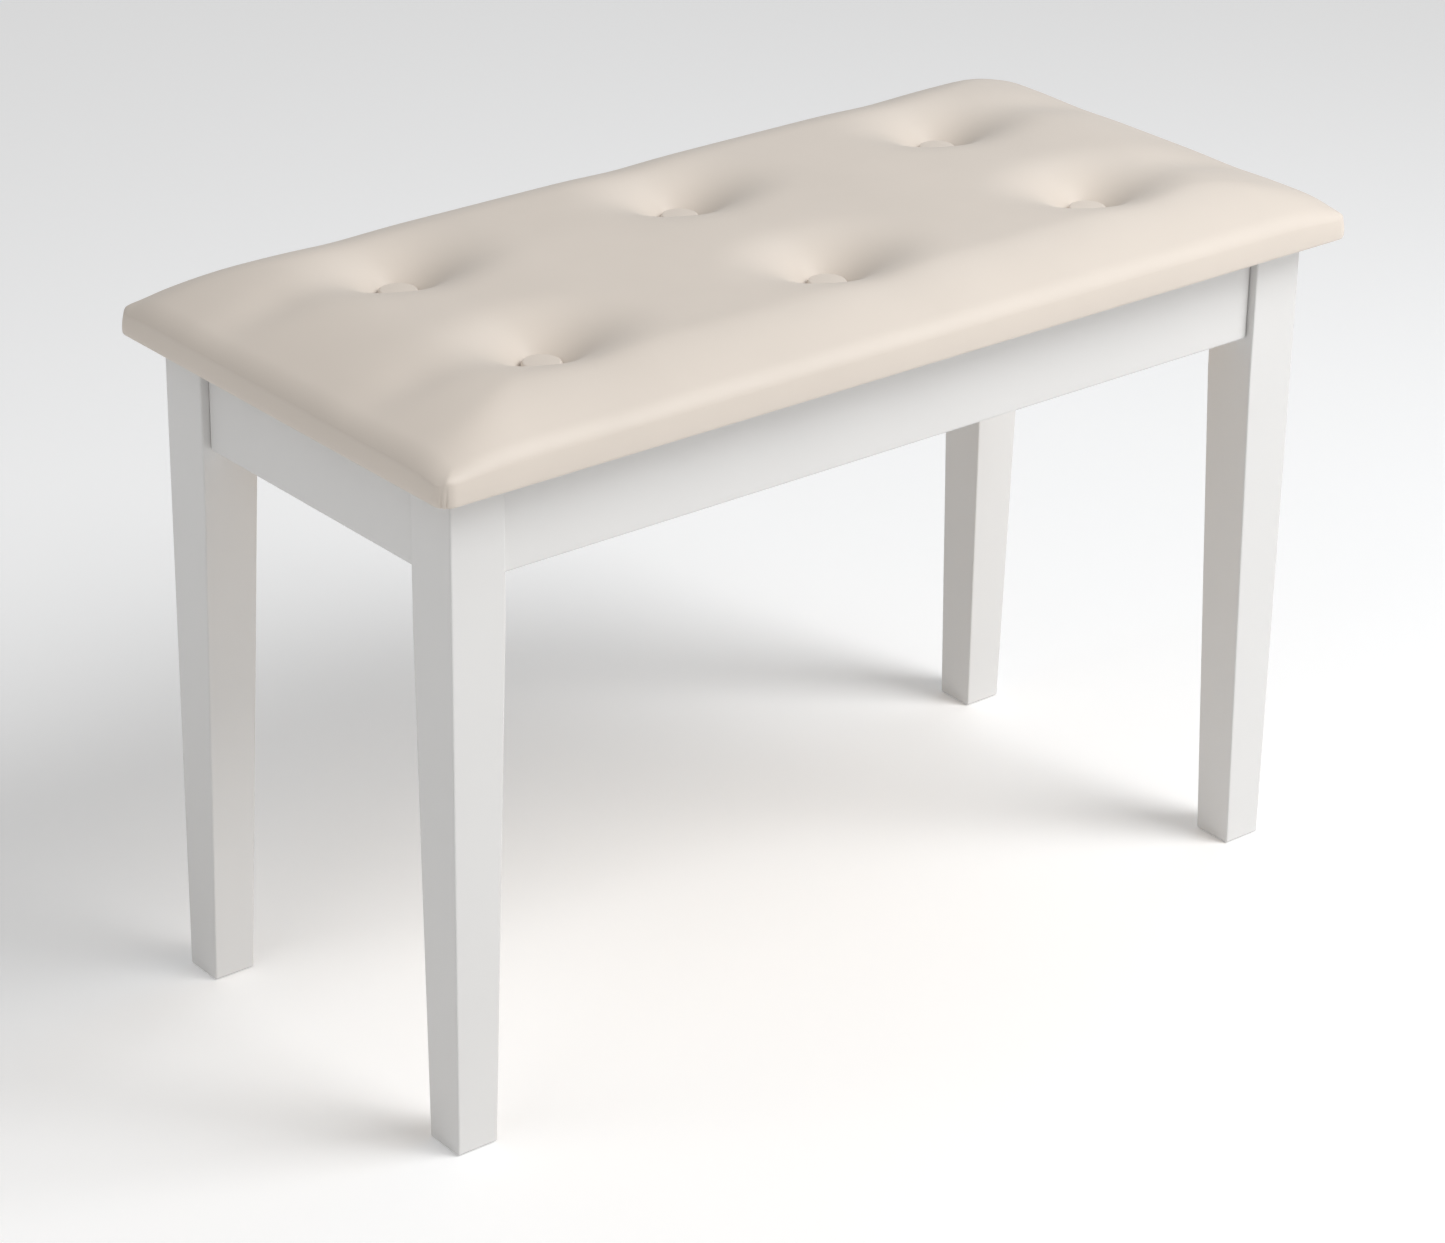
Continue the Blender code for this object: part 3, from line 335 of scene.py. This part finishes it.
def vinyl_material():
    """Fine-grained upholstery vinyl: shallow pores, faint cloudiness and a soft, low gloss."""
    material, tree, shader = new_material("cream_vinyl", VINYL_COLOUR, 0.5, Sheen_Weight=0.08,
                                          Sheen_Roughness=0.5, Specular_IOR_Level=0.4)
    space = object_space(tree)
    cloud = noise(tree, space, 9.0, 3.0)
    tint = ramp(tree, cloud, (0.3, scaled(VINYL_COLOUR, 0.975)), (0.7, scaled(VINYL_COLOUR, 1.02)))
    tree.links.new(tint, shader.inputs["Base Color"])
    patch = noise(tree, space, 60.0, 2.0)
    tree.links.new(spread(tree, patch, 0.46, 0.54), shader.inputs["Roughness"])

    warp = add_node(tree, "ShaderNodeTexNoise", Vector=space, Scale=500.0, Detail=1.0)
    bent = add_node(tree, "ShaderNodeMix", {"data_type": "VECTOR"}, Factor=0.0012)
    tree.links.new(space, bent.inputs[4])                    # its vector A
    tree.links.new(warp.outputs["Color"], bent.inputs[5])    # its vector B
    pores = add_node(tree, "ShaderNodeTexVoronoi", {"feature": "DISTANCE_TO_EDGE"},
                     Vector=bent.outputs[1], Scale=850.0)
    pebbles = spread(tree, pores.outputs["Distance"], 0.0, 1.0)
    slack = bump(tree, noise(tree, space, 38.0, 2.0), 0.0004, 0.35)
    grain = bump(tree, pebbles, 0.00006, 0.5, slack)
    tree.links.new(grain, shader.inputs["Normal"])
    return material


def lacquer_material(name, stretch):
    """White satin lacquer: a trace of orange peel and of the wood's grain along the piece."""
    material, tree, shader = new_material(name, LACQUER_COLOUR, 0.36, Coat_Weight=0.15,
                                          Coat_Roughness=0.22)
    space = object_space(tree)
    along = object_space(tree, stretch)
    shade = ramp(tree, noise(tree, space, 7.0, 2.0), (0.3, scaled(LACQUER_COLOUR, 0.985)),
                 (0.7, scaled(LACQUER_COLOUR, 1.01)))
    tree.links.new(shade, shader.inputs["Base Color"])
    tree.links.new(spread(tree, noise(tree, space, 90.0, 2.0), 0.33, 0.40),
                   shader.inputs["Roughness"])
    edges = add_node(tree, "ShaderNodeBevel", {"samples": 4}, Radius=0.0012)
    peel = bump(tree, noise(tree, space, 420.0, 1.0), 0.00003, 0.5, edges.outputs["Normal"])
    wood = bump(tree, noise(tree, along, 260.0, 3.0, 0.6), 0.00004, 0.4, peel)
    tree.links.new(wood, shader.inputs["Normal"])
    return material


def plywood_material():
    """Raw birch veneer with its grain along the bench."""
    light, dark = PLYWOOD_LIGHT, PLYWOOD_DARK
    material, tree, shader = new_material("plywood", light, 0.62)
    along = object_space(tree, (0.04, 1.0, 1.0))
    figure = noise(tree, along, 55.0, 5.0, 0.62)
    fibre = noise(tree, along, 700.0, 2.0)
    base = ramp(tree, figure, (0.30, dark), (0.52, light), (0.75, scaled(light, 1.12)))
    streak = ramp(tree, fibre, (0.35, (0.90, 0.88, 0.85)), (0.60, (1.0, 1.0, 1.0)))
    mixed = add_node(tree, "ShaderNodeMix",
                     {"data_type": "RGBA", "blend_type": "MULTIPLY"}, Factor=0.8)
    tree.links.new(base, mixed.inputs[6])                    # its colour A
    tree.links.new(streak, mixed.inputs[7])                  # its colour B
    tree.links.new(mixed.outputs[2], shader.inputs["Base Color"])
    tree.links.new(bump(tree, fibre, 0.00008, 0.5), shader.inputs["Normal"])
    return material


def zinc_material():
    """Zinc-plated steel with a faint brushed and cloudy finish."""
    material, tree, shader = new_material("zinc_steel", ZINC_COLOUR, 0.34, Metallic=1.0)
    space = object_space(tree)
    cloud = noise(tree, space, 130.0, 3.0)
    tint = ramp(tree, cloud, (0.3, scaled(ZINC_COLOUR, 0.88)), (0.7, scaled(ZINC_COLOUR, 1.08)))
    tree.links.new(tint, shader.inputs["Base Color"])
    tree.links.new(spread(tree, cloud, 0.28, 0.44), shader.inputs["Roughness"])
    brushed = noise(tree, object_space(tree, (0.1, 1.0, 1.0)), 1600.0, 1.0)
    tree.links.new(bump(tree, brushed, 0.00002, 0.4), shader.inputs["Normal"])
    return material


def cloth_material():
    """Black non-woven dust cloth: matted fibres under a fine bonded dot pattern."""
    material, tree, shader = new_material("lining_cloth", CLOTH_COLOUR, 0.92, Sheen_Weight=0.3)
    space = object_space(tree)
    fibres = noise(tree, space, 900.0, 4.0, 0.7)
    tint = ramp(tree, fibres, (0.35, CLOTH_COLOUR), (0.75, scaled(CLOTH_COLOUR, 2.6)))
    tree.links.new(tint, shader.inputs["Base Color"])
    dots = add_node(tree, "ShaderNodeTexVoronoi", {"feature": "F1"}, Vector=space, Scale=620.0,
                    Randomness=0.15)
    rough = bump(tree, fibres, 0.00015, 0.6)
    tree.links.new(bump(tree, dots.outputs["Distance"], 0.00012, 0.6, rough),
                   shader.inputs["Normal"])
    return material


def plastic_material(name, colour, roughness, **sockets):
    """A small moulded part: nearly plain, with a faint matt texture."""
    material, tree, shader = new_material(name, colour, roughness, **sockets)
    texture = noise(tree, object_space(tree), 1500.0, 2.0)
    tree.links.new(bump(tree, texture, 0.00002, 0.5), shader.inputs["Normal"])
    return material


def paper_material():
    """Matt white paper for the floor, with a faint glow of its own."""
    material, tree, shader = new_material("floor_paper", PAPER_COLOUR, 0.85,
                                          Emission_Color=(1.0, 1.0, 1.0, 1.0),
                                          Emission_Strength=PAPER_GLOW)
    tree.links.new(bump(tree, noise(tree, object_space(tree), 60.0, 2.0), 0.0005, 0.1),
                   shader.inputs["Normal"])
    return material


# Cushion pieces -------------------------------------------------------------------------
def button_centres():
    """The middle of each button's underside, measured from the seat's middle in plan."""
    centres = []
    for name in BUTTON_NODES:
        low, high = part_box(name)
        middle_x, middle_y = (low.x + high.x) / 2, (low.y + high.y) / 2
        centres.append((middle_x - MIDDLE[0], middle_y - MIDDLE[1], high.z - BUTTON_HEIGHT))
    return centres


BUTTONS = button_centres()


def grid_lines(half, centres):
    """Mesh lines from edge to edge, closer together at the edges and round the tufts."""
    line, lines, inner = -half + ROLL_LINES[-1], [], half - ROLL_LINES[-1]
    while line < inner:
        lines.append(line)
        close = (min(abs(line - centre) for centre in centres) < TUFT_ZONE
                 or half - abs(line) < EDGE_ZONE)
        line += FINE_STEP if close else COARSE_STEP
    lines = np.array(lines)
    lines = (lines - lines[0]) * (2 * inner / (line + inner)) - inner
    roll = half - np.array((0.0,) + ROLL_LINES)
    return np.concatenate([-roll, lines[1:], roll[::-1]])


def smooth_step(value):
    """Eases from 0 to 1."""
    value = np.clip(value, 0.0, 1.0)
    return value * value * (3 - 2 * value)


def crown_rise(share):
    """Rise of the crown from 0 at the edge to 1 where it levels out."""
    share = np.minimum(share, 1.0)
    return (3 * share - share ** 3) / 2


def tuft_pull(run_x, run_y):
    """How far a button draws the vinyl down to its floor, from 1 at the button to 0. It reaches
    furthest along the bench, where the vinyl is tightest."""
    distance = np.maximum(np.hypot(run_x, run_y), TUFT_THROAT)
    lengthwise = np.abs(run_x) / distance
    reach = TUFT_REACH_Y + (TUFT_REACH_X - TUFT_REACH_Y) * lengthwise ** 3
    share = np.minimum((distance - TUFT_THROAT) / reach, 1.0)
    return (1 - share) ** TUFT_POWER


def cushion_height(x, y):
    """Height of the vinyl over a point of the seat's rectangle, drawn about its middle."""
    fall_x = 1 - crown_rise((HALF_LENGTH - np.abs(x)) / CROWN_REACH_X)
    fall_y = 1 - crown_rise((HALF_DEPTH - np.abs(y)) / CROWN_REACH_Y)
    crown = 1 - (fall_x ** RIDGE_POWER + fall_y ** RIDGE_POWER) ** (1 / RIDGE_POWER)
    crown = DROOP_BLEND * np.log1p(np.exp((crown + CORNER_DROOP) / DROOP_BLEND)) - CORNER_DROOP
    outer = smooth_step((np.abs(x) - ROW_VALLEY_START) / (ROW_VALLEY_FULL - ROW_VALLEY_START))
    valleys = np.zeros_like(x)
    for row in sorted({round(centre[1], 4) for centre in BUTTONS}):
        valleys += ROW_VALLEY * outer * np.exp(-((y - row) / ROW_VALLEY_WIDTH) ** 2)
    for column in sorted({round(centre[0], 4) for centre in BUTTONS}):
        valleys += COLUMN_VALLEY * np.exp(-((x - column) / COLUMN_VALLEY_WIDTH) ** 2)
    valleys *= np.clip(crown * VALLEY_FADE, 0.0, 1.0)
    height = UNDERSIDE + EDGE_RISE + CROWN * crown - valleys
    roll_x = np.clip(1 - (HALF_LENGTH - np.abs(x)) / END_ROLL_WIDTH, 0.0, 1.0) * END_ROLL_END
    roll_y = np.clip(1 - (HALF_DEPTH - np.abs(y)) / ROLL_WIDTH, 0.0, 1.0) * ROLL_END
    height -= np.maximum(END_ROLL_DROP * (1 - np.sqrt(1 - roll_x ** 2)),
                         ROLL_DROP * (1 - np.sqrt(1 - roll_y ** 2)))
    for centre_x, centre_y, floor in BUTTONS:
        height = height - (height - floor) * tuft_pull(x - centre_x, y - centre_y)
    return height


def pulled_in(value, half, inset):
    """Moves the strip along an edge in, so that it ends at an inset from the edge."""
    past = np.maximum(np.abs(value) - (half - EDGE_BAND), 0)
    return value - np.copysign(past * inset / EDGE_BAND, value)


def rounded(x, y, inset, corner=CORNER_RADIUS):
    """Places of points of the seat's rectangle, pulled in by an inset, with round corners."""
    half_x, half_y = HALF_LENGTH - inset, HALF_DEPTH - inset
    radius = np.maximum(corner - inset, 0.002)
    x = pulled_in(x, HALF_LENGTH, inset)
    y = pulled_in(y, HALF_DEPTH, inset)
    past_x = np.maximum(np.abs(x) - (half_x - radius), 0)
    past_y = np.maximum(np.abs(y) - (half_y - radius), 0)
    in_corner = (past_x > 0) & (past_y > 0)
    round_x = past_x * np.sqrt(1 - past_y ** 2 / (2 * radius ** 2))
    round_y = past_y * np.sqrt(1 - past_x ** 2 / (2 * radius ** 2))
    x = np.where(in_corner, np.copysign(half_x - radius + round_x, x), x)
    y = np.where(in_corner, np.copysign(half_y - radius + round_y, y), y)
    return MIDDLE[0] + x, MIDDLE[1] + y


def pleats(x, y):
    """Depth of the creases beside each corner at points of the seat's outline."""
    from_corner = (HALF_LENGTH - np.abs(x)) - (HALF_DEPTH - np.abs(y))
    return PLEAT_DEPTH * np.exp(-((np.abs(from_corner) - PLEAT_OFFSET) / PLEAT_WIDTH) ** 2)


def cushion_mesh():
    """Points and faces of the cover: the top, the side's rings and the turned-under hem."""
    lines_x = grid_lines(HALF_LENGTH, sorted({centre[0] for centre in BUTTONS}))
    lines_y = grid_lines(HALF_DEPTH, sorted({centre[1] for centre in BUTTONS}))
    x, y = np.meshgrid(lines_x, lines_y)
    top_x, top_y = rounded(x, y, SIDE_LEAN)
    top = np.stack([top_x, top_y, cushion_height(x, y)], axis=-1)
    numbers = np.arange(x.size).reshape(x.shape)
    points = [top.reshape(-1, 3)]
    faces = grid_faces(numbers)

    ring = [int(index) for index in outer_ring(numbers)]
    plan_x, plan_y = outer_ring(x), outer_ring(y)
    side_height = outer_ring(top[..., 2]) - UNDERSIDE
    # Rings below the top: inset, height over the underside, and share of the side's height.
    levels = [(inset + pleats(plan_x, plan_y) * (1 - share), share * side_height, share)
              for inset, share in SIDE_PROFILE]
    levels += [(HEM_START, 0.0, 0.0), (HEM_WIDTH, 0.0, 0.0), (HEM_WIDTH, HEM_THICKNESS, 0.0)]
    count = x.size
    for inset, height, share in levels:
        corner = HEM_CORNER_RADIUS + (CORNER_RADIUS - HEM_CORNER_RADIUS) * share
        side_x, side_y = rounded(plan_x, plan_y, inset, corner)
        side_z = np.zeros(len(ring)) + UNDERSIDE + height
        points.append(np.stack([side_x, side_y, side_z], axis=-1))
        lower = list(range(count, count + len(ring)))
        faces += ring_faces(ring, lower)
        ring = lower
        count += len(ring)
    faces.append(tuple(ring[::-1]))
    return np.concatenate(points), faces


def make_cushion(vinyl):
    """The padded vinyl cover with the foam that fills it, as one closed piece."""
    points, faces = cushion_mesh()
    cushion = add_mesh("tufted_cushion", points, faces, vinyl, "lid")
    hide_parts("seat_cover", "seat_foam")


def make_buttons(vinyl):
    """Vinyl-covered buttons: a nearly flat top, a soft rim and the cover's gathers under it."""
    flat, top = BUTTON_RADIUS - BUTTON_RIM, BUTTON_HEIGHT + BUTTON_PROUD
    profile = [(flat * share, top - BUTTON_DOME * share ** 2) for share in (0, 0.25, 0.5, 0.75)]
    rim_middle = top - BUTTON_DOME - BUTTON_RIM
    for step in range(RIM_STEPS + 1):
        angle = math.radians(90 - step * 90 / RIM_STEPS)
        profile.append((flat + BUTTON_RIM * math.cos(angle),
                        rim_middle + BUTTON_RIM * math.sin(angle)))
    profile += [(BUTTON_RADIUS * share, height) for share, height in BUTTON_FOOT]
    for name, centre in zip(BUTTON_NODES, BUTTONS):
        points, faces = turned(profile, BUTTON_SEGMENTS, ripple=GATHER_DEPTH, folds=BUTTON_GATHERS)
        place = (MIDDLE[0] + centre[0], MIDDLE[1] + centre[1], centre[2])
        button = add_mesh(f"covered_{name}", moved(points, place), faces, vinyl, "lid", 70)
        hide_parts(name)


# Screws, staples and dust cloth ---------------------------------------------------------
def screw_head(radius, height):
    """A pan-head screw's head with a cross recess, its bearing face at the origin."""
    segments, rings = SCREW_SEGMENTS, SCREW_RINGS
    points, faces, loops = [(0, 0, height * RECESS_LEVEL)], [], []
    for ring in range(1, rings + 1):
        reach = radius * ring / rings
        loop = []
        for step in range(segments):
            angle = math.tau * step / segments
            x, y = reach * math.cos(angle), reach * math.sin(angle)
            level = height * math.sqrt(1 - (reach / radius) ** 2 * SCREW_DISH)
            narrow, wide = sorted((abs(x), abs(y)))
            if narrow < radius * RECESS_HALF_WIDTH and wide < radius * RECESS_REACH:
                level = height * RECESS_LEVEL
            loop.append(len(points))
            points.append((x, y, level))
        loops.append(loop)
    loops.append(list(range(len(points), len(points) + segments)))
    angles = [math.tau * step / segments for step in range(segments)]
    points += [(radius * math.cos(angle), radius * math.sin(angle), 0) for angle in angles]
    faces += [(0, loops[0][i], loops[0][(i + 1) % segments]) for i in range(segments)]
    for inner, outer in zip(loops, loops[1:]):
        faces += ring_faces(inner, outer)
    faces.append(tuple(loops[-1][::-1]))
    return points, faces


def make_bracket_screws(zinc):
    """Two screws in each flange of every corner bracket."""
    for name in sorted(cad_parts):
        if not name.startswith("corner_bracket_"):
            continue
        low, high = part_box(name)
        side_x, side_y = math.copysign(1, low.x + high.x), math.copysign(1, low.y + high.y)
        outer_x, inner_x = (high.x, low.x) if side_x > 0 else (low.x, high.x)
        outer_y, inner_y = (high.y, low.y) if side_y > 0 else (low.y, high.y)
        shapes = []
        for level in SCREW_LEVELS:
            height = low.z + (high.z - low.z) * level
            long_place = (inner_x + side_x * SCREW_INSET,
                          outer_y - side_y * BRACKET_THICKNESS, height)
            short_place = (outer_x - side_x * BRACKET_THICKNESS,
                           inner_y + side_y * SCREW_INSET, height)
            for place, direction in ((long_place, (0, -side_y, 0)), (short_place, (-side_x, 0, 0))):
                points, faces = screw_head(SCREW_HEAD_RADIUS, SCREW_HEAD_HEIGHT)
                shapes.append((moved(points, place, direction, spin=height * SCREW_SPIN), faces))
        points, faces = gathered(shapes)
        screws = add_mesh(name.replace("corner_bracket", "bracket_screws"), points, faces, zinc,
                          "frame", 35)


def staple():
    """A staple's crown lying on the hem, its ends bent down into it."""
    half, rise, bend, sides = STAPLE_HALF, STAPLE_RISE, STAPLE_BEND, 6
    shoulder = rise * STAPLE_SHOULDER
    path = [(-half, STAPLE_DEPTH), (-half, -shoulder), (-half + bend, -rise),
            (half - bend, -rise), (half, -shoulder), (half, STAPLE_DEPTH)]
    points, faces, rings = [], [], []
    for x, z in path:
        rings.append(list(range(len(points), len(points) + sides)))
        for step in range(sides):
            angle = math.tau * step / sides
            y = STAPLE_WIRE * STAPLE_FLATNESS * math.cos(angle)
            points.append((x, y, z + STAPLE_WIRE * math.sin(angle)))
    for first, second in zip(rings, rings[1:]):
        faces += ring_faces(second, first)
    faces += [tuple(rings[0][::-1]), tuple(rings[-1])]
    return points, faces


def make_hem_staples(zinc):
    """Staples round the turned-under hem, a little unevenly set by hand."""
    rng = random.Random(7)
    half_x, half_y = HALF_LENGTH - STAPLE_INSET, HALF_DEPTH - STAPLE_INSET
    shapes = []
    for half, other, turn in ((half_x, half_y, 0.0), (half_y, half_x, math.pi / 2)):
        reach = half - STAPLE_END
        count = round(2 * reach / STAPLE_SPACING)
        for side in (-1, 1):
            for step in range(count + 1):
                along = 2 * reach * step / count - reach + rng.uniform(-STAPLE_SLIP, STAPLE_SLIP)
                across = side * (other + rng.uniform(-STAPLE_STRAY, STAPLE_STRAY))
                x, y = (along, across) if turn == 0 else (across, along)
                place = (MIDDLE[0] + x, MIDDLE[1] + y, UNDERSIDE)
                points, faces = staple()
                tilt = turn + rng.uniform(-STAPLE_TILT, STAPLE_TILT)
                shapes.append((moved(points, place, spin=tilt), faces))
    points, faces = gathered(shapes)
    staples = add_mesh("hem_staples", points, faces, zinc, "lid", 60)


def cloth_lines(low, high, count):
    """Mesh lines across the cloth: its edge, the fold's edge and evenly over the rest."""
    even = np.linspace(low + CLOTH_MARGIN, high - CLOTH_MARGIN, count)
    return [low, low + CLOTH_FOLD, *even, high - CLOTH_FOLD, high]


def make_dust_cloth(cloth):
    """The black cloth under the lid: a thin stretched sheet with a turned edge."""
    low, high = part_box("lid_lining")
    x, y = np.meshgrid(cloth_lines(low.x, high.x, CLOTH_CELLS[0]),
                       cloth_lines(low.y, high.y, CLOTH_CELLS[1]))
    from_edge = np.minimum(np.minimum(x - low.x, high.x - x), np.minimum(y - low.y, high.y - y))
    in_fold = from_edge < CLOTH_FOLD * 1.01
    top = np.full(x.shape, high.z)
    bottom = np.where(in_fold, low.z, low.z + CLOTH_FOLD_THICKNESS)
    layers = [np.stack([x, y, level], axis=-1).reshape(-1, 3) for level in (top, bottom)]
    numbers = np.arange(x.size).reshape(x.shape)
    faces = grid_faces(numbers)
    faces += [tuple(index + x.size for index in face[::-1]) for face in faces]
    border = [int(index) for index in outer_ring(numbers)]
    faces += ring_faces(border, [index + x.size for index in border])
    sheet = add_mesh("dust_cloth", np.concatenate(layers), faces, cloth, "lid", 30)
    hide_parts("lid_lining")


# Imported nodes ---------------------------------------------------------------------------
def dress_nodes(lacquers, plywood, zinc, nylon, rubber):
    """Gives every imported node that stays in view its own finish."""
    for name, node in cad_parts.items():
        if name.startswith(("leg_bolt", "corner_bracket", "hinge", "stay")):
            material = zinc
        elif name.startswith("leg"):
            material = lacquers["Z"]
        elif name in ("apron_left", "apron_right"):
            material = lacquers["Y"]
        elif name.startswith("apron"):
            material = lacquers["X"]
        elif name in ("lid_board", "storage_floor"):
            material = plywood
        elif name.startswith("glide"):
            material = nylon
        elif name.startswith("bumper"):
            material = rubber
        else:
            continue
        for material_slot in node.material_slots:
            material_slot.material = material


# Stage pieces ---------------------------------------------------------------------------
def make_floor():
    """A plain pale floor, far wider than the view."""
    half = FLOOR_HALF
    points = [(-half, -half, 0), (half, -half, 0), (half, half, 0), (-half, half, 0)]
    mesh = bpy.data.meshes.new("floor")
    mesh.from_pydata(points, [], [(0, 1, 2, 3)])
    mesh.materials.append(paper_material())
    floor = bpy.data.objects.new("floor", mesh)
    bpy.context.scene.collection.objects.link(floor)


def add_area_light(name, place, aim, side, power, colour):
    """A square soft box at a place, turned to face its aim."""
    light = bpy.data.lights.new(name, "AREA")
    light.shape = "SQUARE"
    light.size = side
    light.energy = power
    light.color = colour
    lamp = bpy.data.objects.new(name, light)
    lamp.location = place
    lamp.rotation_euler = (Vector(aim) - Vector(place)).to_track_quat("-Z", "Y").to_euler()
    bpy.context.scene.collection.objects.link(lamp)


def add_sun(name, direction, strength, spread_angle):
    """A soft distant light that shines from a direction."""
    light = bpy.data.lights.new(name, "SUN")
    light.energy = strength
    light.angle = math.radians(spread_angle)
    lamp = bpy.data.objects.new(name, light)
    lamp.rotation_euler = Vector(direction).to_track_quat("Z", "Y").to_euler()
    bpy.context.scene.collection.objects.link(lamp)


def make_lights():
    """An even pale surround, a wide soft sun and four soft boxes."""
    world = bpy.data.worlds.new("studio")
    world.use_nodes = True
    backdrop = world.node_tree.nodes["Background"]
    backdrop.inputs["Color"].default_value = (1.0, 1.0, 1.0, 1.0)
    backdrop.inputs["Strength"].default_value = WORLD_STRENGTH
    bpy.context.scene.world = world
    add_sun("key_far", SUN_DIRECTION, SUN_STRENGTH, SUN_ANGLE)
    for soft_box in SOFT_BOXES:
        add_area_light(*soft_box)


def make_camera():
    """The camera: it faces a point above the origin, then slides a little aside."""
    azimuth, elevation = math.radians(VIEW_AZIMUTH), math.radians(VIEW_ELEVATION)
    back = Vector((math.sin(azimuth) * math.cos(elevation),
                   -math.cos(azimuth) * math.cos(elevation), math.sin(elevation)))
    roll = Matrix.Rotation(math.radians(VIEW_ROLL), 3, "Z")
    turn = back.to_track_quat("Z", "Y").to_matrix() @ roll
    data = bpy.data.cameras.new("camera")
    data.lens = VIEW_LENS
    data.sensor_width = 36
    camera = bpy.data.objects.new("camera", data)
    camera.rotation_euler = turn.to_euler()
    camera.location = (Vector((0, 0, VIEW_AIM_HEIGHT)) + back * VIEW_DISTANCE
                       + turn @ Vector((VIEW_SLIDE[0], VIEW_SLIDE[1], 0)))
    bpy.context.scene.collection.objects.link(camera)
    bpy.context.scene.camera = camera
    bpy.context.scene.view_settings.view_transform = "Standard"


def main():
    """Builds the stage, then the looks."""
    make_camera()
    make_lights()
    make_floor()
    vinyl = vinyl_material()
    zinc = zinc_material()
    lacquers = {"X": lacquer_material("white_lacquer_long", (ALONG_GRAIN, 1, 1)),
                "Y": lacquer_material("white_lacquer_side", (1, ALONG_GRAIN, 1)),
                "Z": lacquer_material("white_lacquer_leg", (1, 1, ALONG_GRAIN))}
    nylon = plastic_material("nylon", NYLON_COLOUR, 0.45)
    rubber = plastic_material("clear_rubber", RUBBER_COLOUR, 0.25, Transmission_Weight=0.7)
    dress_nodes(lacquers, plywood_material(), zinc, nylon, rubber)
    make_cushion(vinyl)
    make_buttons(vinyl)
    make_bracket_screws(zinc)
    make_hem_staples(zinc)
    make_dust_cloth(cloth_material())


main()
